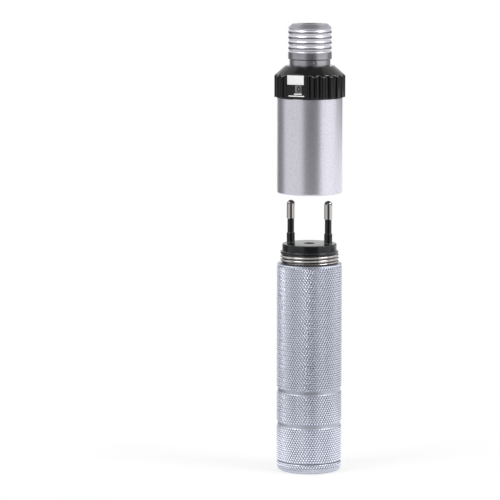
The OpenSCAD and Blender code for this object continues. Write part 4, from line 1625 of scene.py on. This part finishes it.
def softbox(name, azimuth, elevation, share, stage):
    """A soft lamp that faces the handle's middle."""
    lamp = bpy.data.lights.new(name, "AREA")
    lamp.shape = "RECTANGLE"
    lamp.size = stage.box_width
    lamp.size_y = stage.box_height
    lamp.energy = share * stage.box_radiance * math.pi * lamp.size * lamp.size_y
    piece = bpy.data.objects.new(name, lamp)
    bpy.context.scene.collection.objects.link(piece)
    aim = Vector((0, 0, stage.aim_height))
    way = direction(azimuth, elevation)
    piece.location = aim + way * stage.box_distance
    piece.rotation_euler = way.to_track_quat("Z", "Y").to_euler()
    piece.visible_camera = False


# Cards: azimuth from the camera, half angle, distance, lower and upper edge in metres, grey
CARDS = {
    "card_front": (7, 30, 4.0, -1.5, 0.7, 0.1),
    "card_left": (-63, 40, 4.0, -3.0, 2.0, 0.86),
    "card_right": (66, 30, 4.0, -3.0, 0.6, 1.2),
    "card_back_left": (-127, 24, 0.9, -0.2, 0.4, 0.2),
    "card_back_right": (134, 33, 0.9, 0.07, 0.4, 0.28),
    "card_low_right": (134, 33, 0.9, -0.2, 0.07, 1.2),
    "dim_left": (-66, 20, 3.8, 0.5, 3.2, 0.06),
    "dim_right": (72, 20, 3.8, 0.5, 3.2, 0.06),
    "high_front": (4, 12, 3.7, 0.65, 3.2, 0.06),
    "high_left": (-21, 25, 3.8, 0.65, 3.2, 0.35),
    "high_right": (28, 24, 3.8, 0.65, 3.2, 0.3),
    "bright_left": (-58, 58, 3.8, 3.2, 8.0, 1.4),
    "bright_right": (58, 58, 3.8, 3.2, 8.0, 1.4),
}

# Softboxes: azimuth from the camera, elevation, share of the radiance
SOFTBOXES = {
    "softbox_left": (-58, 44, 0.8),
    "softbox_right": (66, 40, 0.9),
}


class HANDLE_OT_stage(bpy.types.Operator):
    """Set up the floor, the light, the cards and the camera"""

    bl_idname = "handle.stage"
    bl_label = "Stage"

    def execute(self, context):
        scene = context.scene
        stage = scene.handle_stage
        scene.view_settings.view_transform = "Standard"
        studio_world(stage.ambient)
        deselect()
        bpy.ops.mesh.primitive_circle_add(vertices=FLOOR_SIDES, radius=stage.floor_radius, fill_type="NGON")
        floor = added("floor")
        floor.data.materials.append(floor_finish(stage.floor_tone, stage.floor_glow))
        for name, (azimuth, half, reach, bottom, top, tone) in CARDS.items():
            turned = stage.azimuth + math.radians(azimuth)
            upright_card(name, turned, math.radians(half), bottom, top, tone, reach)
        level_card("ceiling", stage.ceiling_radius, stage.ceiling_height, stage.ceiling_tone)
        above_floor = 0.2 * MM
        level_card("bounce", stage.bounce_radius, above_floor, stage.bounce_tone, stage.bounce_hole)
        for name, (azimuth, elevation, share) in SOFTBOXES.items():
            turned = stage.azimuth + math.radians(azimuth)
            softbox(name, turned, math.radians(elevation), share, stage)
        self.place_camera(scene, stage)
        return {"FINISHED"}

    def place_camera(self, scene, stage):
        """Puts the camera in front of the handle, a little above its middle."""
        lens = bpy.data.cameras.new("camera")
        lens.lens = stage.lens
        lens.clip_start = 10 * MM
        camera = bpy.data.objects.new("camera", lens)
        scene.collection.objects.link(camera)
        right = Vector((math.cos(stage.azimuth), math.sin(stage.azimuth), 0))
        aim = Vector((0, 0, stage.aim_height)) - right * stage.aim_shift
        way = direction(stage.azimuth, stage.pitch)
        camera.location = aim + way * stage.distance
        camera.rotation_euler = way.to_track_quat("Z", "Y").to_euler()
        scene.camera = camera


# The sidebar and the script's run

SIZE_GROUPS = {
    "handle_barrel": BarrelSizes,
    "handle_knurl": KnurlSizes,
    "handle_threads": ThreadSizes,
    "handle_ring": RingSizes,
    "handle_plug": PlugSizes,
    "handle_colours": FinishColours,
    "handle_stage": StageSizes,
}

STEPS = (
    HANDLE_OT_stage,
    HANDLE_OT_barrel,
    HANDLE_OT_end_cap,
    HANDLE_OT_collar,
    HANDLE_OT_plug,
    HANDLE_OT_pins,
    HANDLE_OT_sleeve,
    HANDLE_OT_neck,
    HANDLE_OT_ring,
    HANDLE_OT_dial,
    HANDLE_OT_inner_pieces,
    HANDLE_OT_springs,
)


class HANDLE_PT_pieces(bpy.types.Panel):
    """Lists the handle's pieces in the sidebar"""

    bl_idname = "HANDLE_PT_pieces"
    bl_label = "Battery handle"
    bl_space_type = "VIEW_3D"
    bl_region_type = "UI"
    bl_category = "Handle"

    def draw(self, context):
        for step in STEPS:
            self.layout.operator(step.bl_idname)


def register():
    for name, group in SIZE_GROUPS.items():
        bpy.utils.register_class(group)
        setattr(bpy.types.Scene, name, PointerProperty(type=group))
    for step in (*STEPS, HANDLE_PT_pieces):
        bpy.utils.register_class(step)


def unregister():
    for step in reversed((*STEPS, HANDLE_PT_pieces)):
        bpy.utils.unregister_class(step)
    for name, group in reversed(SIZE_GROUPS.items()):
        delattr(bpy.types.Scene, name)
        bpy.utils.unregister_class(group)


def main():
    """Builds every piece in order."""
    register()
    for step in STEPS:
        category, name = step.bl_idname.split(".")
        getattr(getattr(bpy.ops, category), name)()


if __name__ == "__main__":
    main()
